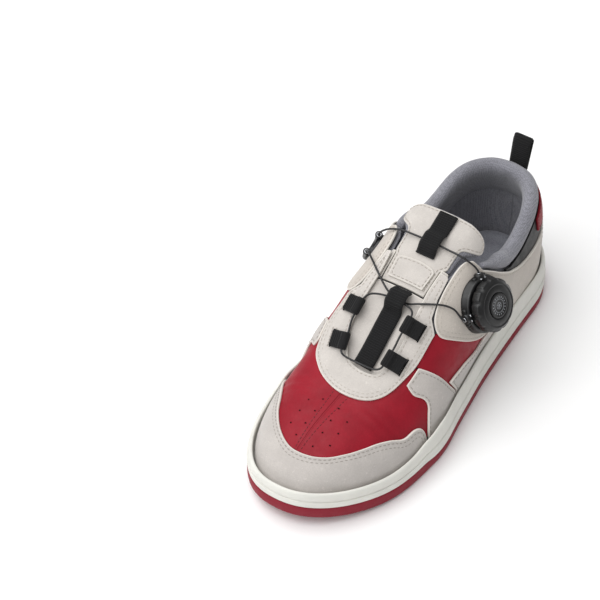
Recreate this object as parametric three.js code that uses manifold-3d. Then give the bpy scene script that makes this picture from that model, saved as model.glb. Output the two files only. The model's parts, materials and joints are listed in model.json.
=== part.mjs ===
// A dial-laced bowling shoe for the left foot, European size 39.
// Millimetres. +Z is up, +Y runs from toe to heel, +X is the lateral side.
// The origin is on the ground plane, halfway along the sole.
import * as THREE from 'three';
import Module from 'manifold-3d';
import { mergeVertices } from 'three/addons/utils/BufferGeometryUtils.js';

// ---------------------------------------------------------------- driving dimensions
const SOLE_LENGTH = 283;
const BALL_WIDTH = 108;
const INSTEP_RISE = 84;          // top of the instep above the footbed
const OUTSOLE_TOE = 9;           // edge thickness in front of the ball
const OUTSOLE_HEEL = 7;          // edge thickness behind the ball
const MIDSOLE_HEEL = 10.5;       // floor of the cup under the heel
const FIT = 0.3;                 // gap between two touching pieces

const LINING = 1.2;
const STIFFENER = 1.0;
const UNDERLAY = 1.2;            // smooth leather panels
const OVERLAY = 1.4;             // suede panels, stitched on the underlay
const CUP_MARGIN = 6.5;          // from the sole's edge in to the last
const TONGUE_SKIN = 1.4;
const TONGUE_FOAM = 4.2;
const TONGUE_LINING = 1.0;
const PATCH = 0.9;
const COLLAR_ROLL = 5.6;         // radius of the padded roll
const BOARD = 1.8;
const SOCKLINER = 4;
const SHANK_WIDTH = 18;
const SHANK = 1.2;
const SLIDE_PAD = 1.4;

const WEBBING = 1.5;
const STRAP_WIDTH = 13;
const LOOP_WIDTH = 11;
const LACE = 1.3;                // diameter
const LACE_ROOM = 2.3;           // bore or tunnel that the lace runs in

const KNOB_RADIUS = 17;
const KNOB_HEIGHT = 8;
const HOUSING_RADIUS = 18.4;
const HOUSING_HEIGHT = 6;
const SPOOL_RADIUS = 10.6;
const SPOOL_HEIGHT = 2.8;
const DRIVE_HEIGHT = 2;
const POST_RADIUS = 3;
const RATCHET_TEETH = 24;
const GRIP_NOTCHES = 12;
const CAP_RADIUS = 7.5;
const GUIDE_RADIUS = 7;          // bend of the lace guide
const GUIDE_TUBE = 2.1;          // its outer radius

// ---------------------------------------------------------------- shape of the last
// Stations run from 0 at the toe to 283 at the heel, on a last 283 long and 108 wide,
// and are stretched to the driving dimensions.
const LAST_LENGTH = 283, LAST_WIDTH = 108, LAST_RISE = 84;
const along = SOLE_LENGTH / LAST_LENGTH;
const across = BALL_WIDTH / LAST_WIDTH;
const upward = INSTEP_RISE / LAST_RISE;
const TIP = (CUP_MARGIN + 1.3) / along;                  // first station of the last
const BACK = LAST_LENGTH - (CUP_MARGIN + 0.5) / along;   // its last station

const clamp = THREE.MathUtils.clamp;
const radians = THREE.MathUtils.degToRad;
const smooth = (x, low, high) => THREE.MathUtils.smoothstep(x, low, high);

// A smooth curve through stations and values that never overshoots them.
function table(...pairs) {
  const x = pairs.map(p => p[0]), y = pairs.map(p => p[1]), last = x.length - 1;
  const rise = x.slice(1).map((v, i) => (y[i + 1] - y[i]) / (v - x[i]));
  const slope = x.map((_, i) => {
    if (i === 0) return rise[0];
    if (i === last) return rise[last - 1];
    if (rise[i - 1] * rise[i] <= 0) return 0;
    const before = x[i] - x[i - 1], after = x[i + 1] - x[i];
    const near = 2 * after + before, far = after + 2 * before;
    return (near + far) / (near / rise[i - 1] + far / rise[i]);
  });
  return at => {
    const v = clamp(at, x[0], x[last]);
    let k = 0;
    while (k < last - 1 && v > x[k + 1]) k++;
    const h = x[k + 1] - x[k], u = (v - x[k]) / h;
    return (2 * u ** 3 - 3 * u ** 2 + 1) * y[k] + (u ** 3 - 2 * u ** 2 + u) * h * slope[k]
      + (3 * u ** 2 - 2 * u ** 3) * y[k + 1] + (u ** 3 - u ** 2) * h * slope[k + 1];
  };
}

const centre = table([0, -6], [30, -4.5], [70, -1.7], [110, 1], [180, 0.5], [283, 0]);
const half = {
  lateral: table([0, 47], [60, 54], [92, 54.5], [130, 49.5], [170, 44.5], [215, 41.5], [283, 39]),
  medial: table([0, 43], [50, 50], [85, 53.5], [125, 45.5], [165, 39], [205, 39.5], [283, 39]),
};
const upperInset = {
  lateral: table([0, 6.5], [110, 6], [150, 3], [185, 3], [215, 5], [283, 7.5]),
  medial: table([0, 6.5], [88, 5], [112, 3], [150, -1.5], [185, -1.5], [215, 3], [283, 6.5]),
};
const flank = {                  // how square the section is sideways
  lateral: table([0, 2.2], [60, 2.4], [112, 2.8], [150, 3.2], [180, 3.2], [215, 2.6], [270, 2.3]),
  medial: table([0, 2.2], [60, 2.4], [88, 3], [112, 4], [180, 4], [215, 3.2], [270, 2.3]),
};
const crown = {                  // how square the section is upwards
  lateral: table([0, 2.2], [60, 2.1], [112, 2.1], [150, 2.3], [180, 2.5], [215, 2.5], [268, 2.6]),
  medial: table([0, 2.2], [60, 2.1], [88, 2.3], [112, 3], [180, 3], [215, 2.7], [268, 2.6]),
};
const toeSpring = table([0, 9], [25, 4.5], [50, 1.5], [80, 0], [255, 0], [283, 2]);
const outsoleEdge = table([0, OUTSOLE_TOE], [80, OUTSOLE_TOE], [92, OUTSOLE_HEEL], [283, OUTSOLE_HEEL]);
const cupFloor = table([0, 1.8], [50, 3], [90, 4.5], [150, 7.5], [220, 11], [283, 10.5]);
const rimRise = table([0, 9.5], [50, 8.6], [70, 9.6], [85, 13.5], [100, 17.3], [150, 15.4],
  [220, 12.2], [283, 11]);
const crest = table([0, 31], [14, 36], [26, 41], [50, 46.5], [68, 49.5], [86, 55], [108, 70],
  [132, 85], [159, 97], [190, 110], [215, 121], [283, 146]);
const heelLean = table([15, 0], [30, 1.5], [50, 2.5], [65, 1], [80, -3], [95, -7], [150, -20]);
const RIM_TAPER = 2;

// Height of the footbed that the upper is lasted round.
const footbed = t => toeSpring(t) + outsoleEdge(t) + FIT + cupFloor(t) * MIDSOLE_HEEL / 10.5;

// A superellipse round the toe and the heel: 0 at the ends, 1 between them.
function roundEnds(t, first, last) {
  const toe = clamp(1 - (t - first) / 78, 0, 1), heel = clamp(1 - (last - t) / 44, 0, 1);
  return (1 - toe ** 2.3) ** (1 / 2.3) * (1 - heel ** 2.35) ** (1 / 2.35);
}

function noseRise(t) {
  const u = clamp(1 - (t - TIP + 0.4) / 46, 0, 1);
  return (1 - u ** 2.5) ** (1 / 2.5);
}

// The last's surface. phi runs from 0 at the lateral edge, over the ridge at 90, to 180.
function lastPoint(t, phi) {
  const side = phi < 90 ? 'lateral' : 'medial', sign = phi < 90 ? 1 : -1;
  const base = footbed(t) + 0.4;
  const height = (crest(t) - footbed(t)) * upward * noseRise(t);
  const sine = Math.max(Math.sin(radians(phi)), 0), cosine = Math.abs(Math.cos(radians(phi)));
  const rise = height * sine ** (2 / crown[side](t));
  const tuck = smooth(rise, rimRise(t) - 1, rimRise(t) + 18);
  const inset = THREE.MathUtils.lerp(CUP_MARGIN, upperInset[side](t), tuck);
  const reach = (half[side](t) * across - inset) * roundEnds(t, TIP - 0.4, BACK);
  const z = base + rise;
  const lean = heelLean(z / upward) * smooth(t, 215, BACK);
  return new THREE.Vector3(
    centre(t) * across + sign * reach * cosine ** (2 / flank[side](t)),
    (t - LAST_LENGTH / 2) * along + lean,
    z,
  );
}

// ---------------------------------------------------------------- net over the last
// All upper panels share the facets of this net, so that layers stay parallel.
const COLUMNS = [TIP, 10, 15, 24, 36, 49, 63, 77, 91, 105, 120, 135, 150, 166, 182, 198, 214, 229,
  242, 253, 262, 269.5, 274.3, BACK];
const ROWS = [0, 8, 19, 31, 43, 55, 67, 79, 90, 101, 113, 125, 137, 149, 161, 172, 180];
const LAST_COLUMN = COLUMNS.length - 1, LAST_ROW = ROWS.length - 1;

const netPoint = COLUMNS.map(t => ROWS.map(phi => lastPoint(t, phi)));
const netNormal = COLUMNS.map(() => ROWS.map(() => new THREE.Vector3()));
for (let i = 0; i < LAST_COLUMN; i++) {
  for (let j = 0; j < LAST_ROW; j++) {
    const facets = [[[i, j], [i + 1, j], [i + 1, j + 1]], [[i, j], [i + 1, j + 1], [i, j + 1]]];
    for (const facet of facets) {
      const [a, b, c] = facet.map(([k, m]) => netPoint[k][m]);
      const normal = b.clone().sub(a).cross(c.clone().sub(a));
      for (const [k, m] of facet) netNormal[k][m].add(normal);
    }
  }
}
for (let j = 0; j <= LAST_ROW / 2; j++) {       // the two sides meet behind the heel
  const sum = netNormal[LAST_COLUMN][j].clone().add(netNormal[LAST_COLUMN][LAST_ROW - j]);
  netNormal[LAST_COLUMN][j].copy(sum);
  netNormal[LAST_COLUMN][LAST_ROW - j].copy(sum);
}
netNormal.flat().forEach(n => n.normalize());

// Stations past the back of the heel come forward again on the medial side.
const stationOf = k => (k <= LAST_COLUMN ? COLUMNS[k] : 2 * BACK - COLUMNS[2 * LAST_COLUMN - k]);
function corner(k, m) {
  const over = k > LAST_COLUMN;
  const i = over ? 2 * LAST_COLUMN - k : k, j = over ? LAST_ROW - m : m;
  return { at: [stationOf(k), ROWS[m]], point: netPoint[i][j], normal: netNormal[i][j] };
}

// The point at (station, phi) on the net, and how it moves outwards.
function onFacet(corners, [s, phi]) {
  const [a, b, c] = corners.map(v => v.at);
  const area = (b[0] - a[0]) * (c[1] - a[1]) - (c[0] - a[0]) * (b[1] - a[1]);
  const v = ((s - a[0]) * (c[1] - a[1]) - (c[0] - a[0]) * (phi - a[1])) / area;
  const w = ((b[0] - a[0]) * (phi - a[1]) - (s - a[0]) * (b[1] - a[1])) / area;
  const mix = key => corners[0][key].clone().multiplyScalar(1 - v - w)
    .addScaledVector(corners[1][key], v).addScaledVector(corners[2][key], w);
  return { point: mix('point'), normal: mix('normal') };
}

function facetsOf(k, m) {
  const a = corner(k, m), b = corner(k + 1, m), c = corner(k + 1, m + 1), d = corner(k, m + 1);
  return [[a, b, c], [a, c, d]];
}

function locate(s, phi) {
  let k = 0, m = 0;
  while (k < 2 * LAST_COLUMN - 1 && s > stationOf(k + 1)) k++;
  while (m < LAST_ROW - 1 && phi > ROWS[m + 1]) m++;
  const [lower, upper] = facetsOf(k, m);
  const u = (s - stationOf(k)) / (stationOf(k + 1) - stationOf(k));
  const v = (phi - ROWS[m]) / (ROWS[m + 1] - ROWS[m]);
  return onFacet(u >= v ? lower : upper, [s, phi]);
}

const surfacePoint = (s, phi, out) => {
  const { point, normal } = locate(s, phi);
  return point.addScaledVector(normal, out);
};

// phi where the last reaches height z at a station.
function phiAtHeight(t, z) {
  let low = 0, high = 90;
  for (let n = 0; n < 30; n++) {
    const middle = (low + high) / 2;
    if (lastPoint(t, middle).z < z) low = middle; else high = middle;
  }
  return (low + high) / 2;
}

// A frame on the surface: x towards the heel, y over the foot, z outwards.
function frameAt(s, phi, out) {
  const origin = surfacePoint(s, phi, out), z = locate(s, phi).normal.normalize();
  const x = surfacePoint(s + 2, phi, out).sub(surfacePoint(s - 2, phi, out));
  x.addScaledVector(z, -x.dot(z)).normalize();
  const y = z.clone().cross(x);
  return new THREE.Matrix4().makeBasis(x, y, z).setPosition(origin);
}

// ---------------------------------------------------------------- solids
const wasm = await Module();
wasm.setup();

function solid(geometry) {
  const bare = geometry.clone();
  bare.deleteAttribute('normal');
  bare.deleteAttribute('uv');
  const merged = mergeVertices(bare, 1e-4);
  return new wasm.Manifold(new wasm.Mesh({
    numProp: 3,
    vertProperties: new Float32Array(merged.attributes.position.array),
    triVerts: new Uint32Array(merged.index.array),
  }));
}

function geometryOf(manifold) {
  const mesh = manifold.getMesh();
  const geometry = new THREE.BufferGeometry();
  geometry.setAttribute('position', new THREE.BufferAttribute(mesh.vertProperties, 3));
  geometry.setIndex(new THREE.BufferAttribute(mesh.triVerts, 1));
  return geometry;
}

const cut = (body, ...tools) => geometryOf(tools.reduce((b, tool) => b.subtract(solid(tool)), solid(body)));
const join = (body, ...more) => geometryOf(more.reduce((b, extra) => b.add(solid(extra)), solid(body)));

function fromTriangles(points, triangles) {
  const geometry = new THREE.BufferGeometry();
  const positions = points.flatMap(p => [p.x, p.y, p.z]);
  geometry.setAttribute('position', new THREE.Float32BufferAttribute(positions, 3));
  geometry.setIndex(triangles.flat());
  return geometry;
}

// Closed loops stacked from the bottom up, counter-clockwise seen from above. Each starts
// at the toe and goes round by the lateral side; the ends are closed with strips across.
function stack(loops) {
  const n = loops[0].length, triangles = [];
  for (let r = 0; r + 1 < loops.length; r++) {
    for (let i = 0; i < n; i++) {
      const a = r * n + i, b = r * n + (i + 1) % n;
      triangles.push([a, b, b + n], [a, b + n, a + n]);
    }
  }
  const top = (loops.length - 1) * n;
  for (let i = 0; i < n / 2; i++) {
    const right = i, right2 = i + 1, left = (n - i) % n, left2 = n - i - 1;
    if (left !== right) {
      triangles.push([right, left, left2], [top + right, top + left2, top + left]);
    }
    if (left2 !== right2) {
      triangles.push([right, left2, right2], [top + right, top + right2, top + left2]);
    }
  }
  return fromTriangles(loops.flat(), triangles);
}

// A loop round the sole's edge, moved in, at the height that height(t) gives.
const SOLE_STEPS = 30;
function soleLoop(inset, height) {
  const side = (name, sign) => step => {
    const t = LAST_LENGTH / 2 * (1 - Math.cos(Math.PI * step / SOLE_STEPS));
    const first = inset / along, last = LAST_LENGTH - inset / along;
    const place = clamp(t, first, last);
    const reach = (half[name](t) * across - inset) * roundEnds(place, first, last);
    return new THREE.Vector3(centre(t) * across + sign * reach,
      (place - LAST_LENGTH / 2) * along, height(place));
  };
  const lateral = side('lateral', 1), medial = side('medial', -1), loop = [];
  for (let i = 0; i <= SOLE_STEPS; i++) loop.push(lateral(i));
  for (let i = SOLE_STEPS - 1; i > 0; i--) loop.push(medial(i));
  return loop;
}

// A loop round the last at one height of the net.
function lastLoop(row, out, lift = 0) {
  const at = (i, j) => netPoint[i][j].clone().addScaledVector(netNormal[i][j], out)
    .add(new THREE.Vector3(0, 0, lift));
  const front = at(0, row).add(at(0, LAST_ROW - row)).multiplyScalar(0.5);
  const loop = [front];
  for (let i = 0; i <= LAST_COLUMN; i++) loop.push(at(i, row));
  for (let i = LAST_COLUMN - 1; i >= 0; i--) loop.push(at(i, LAST_ROW - row));
  return loop;
}

// Keeps the part of a polygon on the left of the line from a to b.
function clip(polygon, a, b) {
  const run = [b[0] - a[0], b[1] - a[1]];
  const sideOf = p => run[0] * (p[1] - a[1]) - run[1] * (p[0] - a[0]);
  const travel = p => run[0] * (p[0] - a[0]) + run[1] * (p[1] - a[1]);
  const side = polygon.map(sideOf), n = polygon.length;
  if (side.every(d => d >= 0)) return [polygon];
  if (side.every(d => d < 0)) return [];
  const crossing = (i, j) => {
    const u = side[i] / (side[i] - side[j]);
    return [polygon[i][0] + u * (polygon[j][0] - polygon[i][0]),
      polygon[i][1] + u * (polygon[j][1] - polygon[i][1])];
  };
  const chains = [];
  for (let i = 0; i < n; i++) {
    let j = (i + 1) % n;
    if (side[i] >= 0 || side[j] < 0) continue;
    const chain = [crossing(i, j)];
    while (side[j] >= 0) {
      chain.push(polygon[j]);
      const next = (j + 1) % n;
      if (side[next] < 0) chain.push(crossing(j, next));
      j = next;
    }
    chains.push(chain);
  }
  const ends = chains.flatMap((chain, k) => [
    { k, enters: true, at: travel(chain[0]) }, { k, enters: false, at: travel(chain.at(-1)) }]);
  ends.sort((p, q) => p.at - q.at);
  const pieces = [], used = new Set();
  for (const first of chains.keys()) {
    if (used.has(first)) continue;
    const piece = [];
    for (let k = first; !used.has(k);) {
      used.add(k);
      piece.push(...chains[k]);
      const place = ends.findIndex(e => e.k === k && !e.enters);
      k = ends[place % 2 === 0 ? place + 1 : place - 1].k;
    }
    pieces.push(piece);
  }
  return pieces;
}

// A panel of even thickness over the net, from offset low to offset high. Points closer than
// a hundredth are one point; the grid that finds them is moved off the round numbers.
const OFF_GRID = 0.137;
function panel(outline, low, high) {
  const vectors = outline.map(([s, phi]) => new THREE.Vector2(s, phi));
  const contour = THREE.ShapeUtils.area(vectors) < 0 ? [...outline].reverse() : outline;
  const stations = contour.map(p => p[0]), phis = contour.map(p => p[1]);
  const known = new Map(), outer = [], inner = [], triangles = [];
  const vertex = (corners, at) => {
    const key = at.map(v => Math.round(v * 100 + OFF_GRID)).join(' ');
    if (!known.has(key)) {
      const { point, normal } = onFacet(corners, at);
      known.set(key, outer.length);
      outer.push(point.clone().addScaledVector(normal, high));
      inner.push(point.clone().addScaledVector(normal, low));
    }
    return known.get(key);
  };
  for (let k = 0; k < 2 * LAST_COLUMN; k++) {
    if (stationOf(k + 1) < Math.min(...stations) || stationOf(k) > Math.max(...stations)) continue;
    for (let m = 0; m < LAST_ROW; m++) {
      if (ROWS[m + 1] < Math.min(...phis) || ROWS[m] > Math.max(...phis)) continue;
      for (const corners of facetsOf(k, m)) {
        let pieces = [contour];
        for (let e = 0; e < 3; e++) {
          pieces = pieces.flatMap(p => clip(p, corners[e].at, corners[(e + 1) % 3].at));
        }
        for (const piece of pieces) {
          const ids = piece.map(at => vertex(corners, at));
          const distinct = piece.filter((_, i) => ids[i] !== ids[(i + 1) % ids.length]);
          const kept = distinct.map(at => vertex(corners, at));
          if (kept.length < 3) continue;
          const flat = distinct.map(at => new THREE.Vector2(...at));
          for (const face of THREE.ShapeUtils.triangulateShape(flat, [])) {
            const [a, b, c] = face.map(i => kept[i]);
            if (a !== b && b !== c && c !== a) triangles.push([a, b, c]);
          }
        }
      }
    }
  }
  const edges = new Set(triangles.flatMap(([a, b, c]) => [`${a} ${b}`, `${b} ${c}`, `${c} ${a}`]));
  const n = outer.length, shell = [];
  for (const [a, b, c] of triangles) {
    shell.push([a, b, c], [n + a, n + c, n + b]);
    for (const [p, q] of [[a, b], [b, c], [c, a]]) {
      if (!edges.has(`${q} ${p}`)) shell.push([p, n + q, q], [p, n + p, n + q]);
    }
  }
  return fromTriangles([...outer, ...inner], shell);
}

// A smooth run of chart points through the given ones.
function through(points, perSpan = 2) {
  const curve = new THREE.SplineCurve(points.map(p => new THREE.Vector2(...p)));
  return curve.getPoints((points.length - 1) * perSpan).map(p => [p.x, p.y]);
}
const mirrored = outline => outline.map(([s, phi]) => [s, 180 - phi]);
const overHeel = ([s, phi]) => [2 * BACK - s, phi];
function roundOutline(s, phi, reachS, reachPhi, steps = 20) {
  const turns = Array.from({ length: steps }, (_, i) => 2 * Math.PI * i / steps);
  return turns.map(a => [s + reachS * Math.cos(a), phi + reachPhi * Math.sin(a)]);
}

// ---------------------------------------------------------------- materials and group
const shoe = new THREE.Group();
const finish = (color, roughness, metalness = 0) =>
  new THREE.MeshStandardMaterial({ color, roughness, metalness });
const FINISH = {
  crimsonRubber: [0x8c1f33, 0.6], whiteRubber: [0xe4dfd6, 0.6], greySuede: [0xb5b1aa, 0.95],
  paleSuede: [0xcdc6bb, 0.95], crimsonLeather: [0x97182b, 0.5], greyMesh: [0x8d8f99, 0.9],
  charcoalLeather: [0x4a4a4e, 0.5], blackWebbing: [0x151515, 0.85], blackPlastic: [0x161617, 0.35],
  steel: [0xb9bcc0, 0.3, 1], fibreboard: [0xb9a98c, 0.9], microfibre: [0xe9e6df, 0.95],
  foam: [0x9a9aa2, 0.95], stiffener: [0xd8d2c4, 0.8], lace: [0x1a1a1a, 0.4],
};
function place(name, geometry, look, parent = shoe) {
  const mesh = new THREE.Mesh(geometry, finish(...FINISH[look]));
  mesh.name = name;
  parent.add(mesh);
  return mesh;
}

// Offsets of each layer from the last's surface.
const layer = {};
layer.underlay = [0, UNDERLAY];
layer.overlay = [UNDERLAY + FIT, UNDERLAY + FIT + OVERLAY];
layer.trim = layer.overlay[1] + FIT;                 // where hardware sits
layer.stiffener = [-FIT - STIFFENER, -FIT];
layer.lining = [layer.stiffener[0] - FIT - LINING, layer.stiffener[0] - FIT];

// ---------------------------------------------------------------- sole unit
const outsoleTop = t => toeSpring(t) + outsoleEdge(t);
const PAD_STATION = 99, PAD_LENGTH = 46, PAD_WIDTH = 64;

function padDisc(grow, height) {
  const outline = new THREE.Shape().absellipse(0, 0, PAD_WIDTH / 2 + grow, PAD_LENGTH / 2 + grow,
    0, 2 * Math.PI);
  return new THREE.ExtrudeGeometry(outline, { depth: height, bevelEnabled: false, curveSegments: 14 })
    .translate(0, (PAD_STATION - LAST_LENGTH / 2) * along, 0);
}

function buildOutsole() {
  const block = stack([
    soleLoop(1.5, toeSpring),
    soleLoop(0, t => toeSpring(t) + 1.5),
    soleLoop(0, outsoleTop),
  ]);
  place('outsole', cut(block, padDisc(FIT, SLIDE_PAD + FIT).translate(0, 0, -0.001)), 'crimsonRubber');
  place('slide_pad', padDisc(0, SLIDE_PAD), 'microfibre');
}

const SHANK_FROM = 118, SHANK_TO = 205;
function shankStrip(grow, low, high) {
  const from = SHANK_FROM - grow / along, to = SHANK_TO + grow / along, steps = 8;
  const line = Array.from({ length: steps + 1 }, (_, i) => from + (to - from) * i / steps);
  const wide = SHANK_WIDTH / 2 + grow;
  const loop = out => {
    const at = (t, x) => new THREE.Vector3(centre(t) * across + x, (t - LAST_LENGTH / 2) * along,
      footbed(t) + out);
    return [at(from, 0), ...line.map(t => at(t, wide)), at(to, 0),
      ...line.toReversed().map(t => at(t, -wide))];
  };
  return stack([loop(low), loop(high)]);
}

function buildMidsole() {
  const wall = layer.overlay[1] + 0.4;
  const outer = stack([
    soleLoop(0.2, t => outsoleTop(t) + FIT),
    soleLoop(0.6, t => footbed(t) + rimRise(t) * 0.5),
    soleLoop(RIM_TAPER, t => footbed(t) + rimRise(t)),
  ]);
  const inner = stack([lastLoop(0, wall, -0.4), lastLoop(1, wall), lastLoop(2, wall),
    lastLoop(3, wall), lastLoop(3, wall, 60)]);
  place('midsole_cup', cut(outer, inner, shankStrip(FIT, -SHANK - 2 * FIT, 0.6)), 'whiteRubber');
  place('shank', shankStrip(0, -SHANK - FIT, -FIT), 'steel');
}

function insoleSheet(margin, low, high) {
  const inset = CUP_MARGIN + margin;
  return stack([soleLoop(inset, t => footbed(t) + low), soleLoop(inset, t => footbed(t) + high)]);
}
function buildInsole() {
  const inside = -layer.lining[0] + 1.4;
  place('insole_board', insoleSheet(inside, 2 * FIT, 2 * FIT + BOARD), 'fibreboard');
  place('sockliner', insoleSheet(inside + 2, 3 * FIT + BOARD, 3 * FIT + BOARD + SOCKLINER), 'greyMesh');
}

// ---------------------------------------------------------------- upper, chart outlines
// Outlines are (station, phi). The lateral side is drawn, and the medial side mirrors it
// unless it says otherwise.
const rimHeight = table([170, 92], [180, 86], [190, 78], [200, 71.5], [210, 68], [220, 68],
  [230, 70.5], [240, 74.5], [250, 78.5], [262, 81.5], [276, 82.5]);
const rimLift = t => footbed(t) + (rimHeight(t) - footbed(t)) * upward;
const rimPhi = (t, drop = 0) => phiAtHeight(t, rimLift(t) - drop);
const rimLine = (stations, drop = 0) => stations.map(t => [t, rimPhi(t, drop)]);

const capEdge = [[87, 0], [87, 22], [82, 29.5], [72, 31], [64, 38.5], [56, 44], [47, 48], [38, 53.5],
  [30, 63], [25.5, 79], [25.5, 98], [32, 116], [43, 129], [55, 137], [66, 147], [76, 160], [84, 180]];
const eyestayOuter = [[124, 60.5], [106, 61], [95, 64], [81, 68], [72, 76], [68.5, 88], [71, 99],
  [79, 112], [91, 123.5], [106, 125], [124, 121.5]];
const throatEdge = [[153, 103], [138, 101], [123, 101.5], [108, 101], [97, 99], [89.5, 95.5], [87, 88],
  [90, 80.5], [102, 78], [123, 79], [138, 80.5], [153, 80]];
const saddleFront = [[94, 60], [93, 51], [96.5, 42], [97, 35], [93.5, 27], [90, 16], [89, 0]];
const saddleRear = [[128, 0], [124.5, 14], [118, 26], [111, 43], [106, 56], [105, 59]];
const flapFront = [[200, 0], [193.5, 7], [180, 11], [167, 15.5], [153, 23.5], [142, 33], [132, 45],
  [126, 55.5], [127.5, 64], [134, 69.5], [146, 72], [158, 71.5], [167, 68.5], [172, 63]];

function buildFrontUpper() {
  place('toe_puff', panel([[TIP + 1, 2], ...through([[60, 8], [44, 40], [36, 66], [33, 90],
    [36, 114], [44, 140], [60, 172]]), [TIP + 1, 178]], ...layer.stiffener), 'stiffener');
  place('vamp_lining', panel([[TIP + 1, 0.5], [150, 0.5], [150, 46], [118, 54], [100, 60],
    ...through([[84, 68], [79, 90], [84, 112]]), [100, 120], [118, 128], [150, 136], [150, 179.5],
    [TIP + 1, 179.5]], ...layer.lining), 'greyMesh');
  const vamp = [[19, 89.4], ...through([[20, 70], [28, 48], [44, 34], [62, 22], [72, 12]]),
    [104, 12], [104, 57], [92, 64], ...through([[80, 74], [78, 89.4]])];
  place('vamp_lateral', panel(vamp, ...layer.underlay), 'crimsonLeather');
  place('vamp_medial', panel(mirrored(vamp), ...layer.underlay), 'crimsonLeather');
  place('toe_cap', panel([[TIP + 1, 0.2], ...through(capEdge), [TIP + 1, 179.8]],
    ...layer.overlay), 'greySuede');
  const eyestay = [...through(eyestayOuter), [129, 110.6], [139, 108.2], [153, 106.9],
    ...through(throatEdge), [153, 73.6], [139, 72.5], [129, 69]];
  place('eyestay', panel(eyestay, ...layer.overlay), 'paleSuede');
}

function buildSides() {
  const saddle = [...through(saddleFront), ...through(saddleRear)];
  const medialSaddle = [[96.5, 53], ...through(saddleFront).filter(([, phi]) => phi < 50),
    ...through(saddleRear).filter(([, phi]) => phi < 52), [107, 53.4]];
  place('saddle_lateral', panel(saddle, ...layer.overlay), 'greySuede');
  place('saddle_medial', panel(mirrored(medialSaddle), ...layer.overlay), 'greySuede');

  const quarter = [[107, 4], [107, 57], [118, 60], [127, 55], ...through([[136, 44], [147, 32],
    [160, 24], [180, 19], [196, 14]]), [197, 4]];
  place('quarter_lateral', panel(quarter, ...layer.underlay), 'crimsonLeather');
  place('quarter_medial', panel(mirrored(quarter), ...layer.underlay), 'crimsonLeather');

  const wing = [[129, 0.1], [125.8, 14], [119.6, 25.6], ...through([[138, 21.5], [165, 13], [190, 6.4]]),
    [197, 0.1]];
  const shortWing = [[129, 0.1], [125.8, 14], [119.6, 25.6], ...through([[138, 21.5], [155, 16],
    [166, 11], [171, 6], [172, 0.1]])];
  place('wing_lateral', panel(wing, ...layer.overlay), 'greySuede');
  place('wing_medial', panel(mirrored(shortWing), ...layer.overlay), 'greySuede');
}

const HEEL_COVER_TOP = 57, TAB_BOTTOM = 62, TAB_FRONT = 246;
const heelPhi = (t, z) => phiAtHeight(t, footbed(t) + (z - footbed(t)) * upward);
function buildRearUpper() {
  const flapTop = [[175, rimPhi(175, 1)], [182, rimPhi(182, 1)], [190, rimPhi(190, 1)],
    [200, rimPhi(200, 2)], [208, heelPhi(208, 65)], [218, heelPhi(218, 60)],
    [232, heelPhi(232, 57)], [256, heelPhi(256, HEEL_COVER_TOP)]];
  const flapRear = [[256.5, heelPhi(256, HEEL_COVER_TOP)], [252, heelPhi(252, 44)], [247, 0.1]];
  const flap = [...through(flapFront), ...through(flapTop), ...through(flapRear)];
  place('flap_lateral', panel(flap, ...layer.overlay), 'paleSuede');
  place('flap_medial', panel(mirrored(flap), ...layer.overlay), 'paleSuede');

  const collarStations = [199, 206, 214, 222, 230, 238, 246, 254, 262, 270];
  const collarPanel = [...rimLine(collarStations, 0.4), [273, heelPhi(273, 80)],
    [273, heelPhi(273, 48)], ...[262, 246, 230, 214].map(t => [t, heelPhi(t, 47)]),
    [199, heelPhi(199, 50)]];
  place('collar_panel_lateral', panel(collarPanel, ...layer.underlay), 'charcoalLeather');
  place('collar_panel_medial', panel(mirrored(collarPanel), ...layer.underlay), 'charcoalLeather');

  const cover = [[257.6, heelPhi(257, HEEL_COVER_TOP)], [266, heelPhi(266, HEEL_COVER_TOP)],
    [BACK, heelPhi(BACK, HEEL_COVER_TOP)]];
  const coverFoot = [[253.2, heelPhi(253, 44)], [248.2, 0.1]];
  const coverSide = [...coverFoot.toReversed(), ...cover.slice(0, 2)];
  place('heel_cover', panel([...coverSide, cover[2], ...coverSide.toReversed().map(overHeel)],
    ...layer.overlay), 'greySuede');

  const tabTop = rimLine([TAB_FRONT, 256, 265, 271], 0.4);
  const tabFoot = [[TAB_FRONT, heelPhi(TAB_FRONT, TAB_BOTTOM + 4)], [258, heelPhi(258, TAB_BOTTOM + 1)],
    [268, heelPhi(268, TAB_BOTTOM)]];
  const tabSide = [...tabFoot.toReversed(), ...tabTop];
  place('heel_tab', panel([...tabSide, ...tabSide.toReversed().map(overHeel)], ...layer.overlay),
    'crimsonLeather');

  const stiffTop = rimLine([222, 236, 250, 262, 272], 12);
  const stiffFoot = [[210, 2], [212, heelPhi(212, 44)]];
  const stiffSide = [...stiffFoot, ...stiffTop];
  place('heel_counter', panel([...stiffSide, ...stiffSide.toReversed().map(overHeel)],
    ...layer.stiffener), 'stiffener');

  const liningTop = rimLine([180, 190, 200, 210, 220, 230, 240, 250, 260, 268, 273], 0.6);
  const lining = [[152, 0.5], [152, 45], [166, 46], ...liningTop, [275.3, rimPhi(275, 0.6)],
    [275.3, 0.5]];
  place('quarter_lining_lateral', panel(lining, ...layer.lining), 'greyMesh');
  place('quarter_lining_medial', panel(mirrored(lining), ...layer.lining), 'greyMesh');
}

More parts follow.
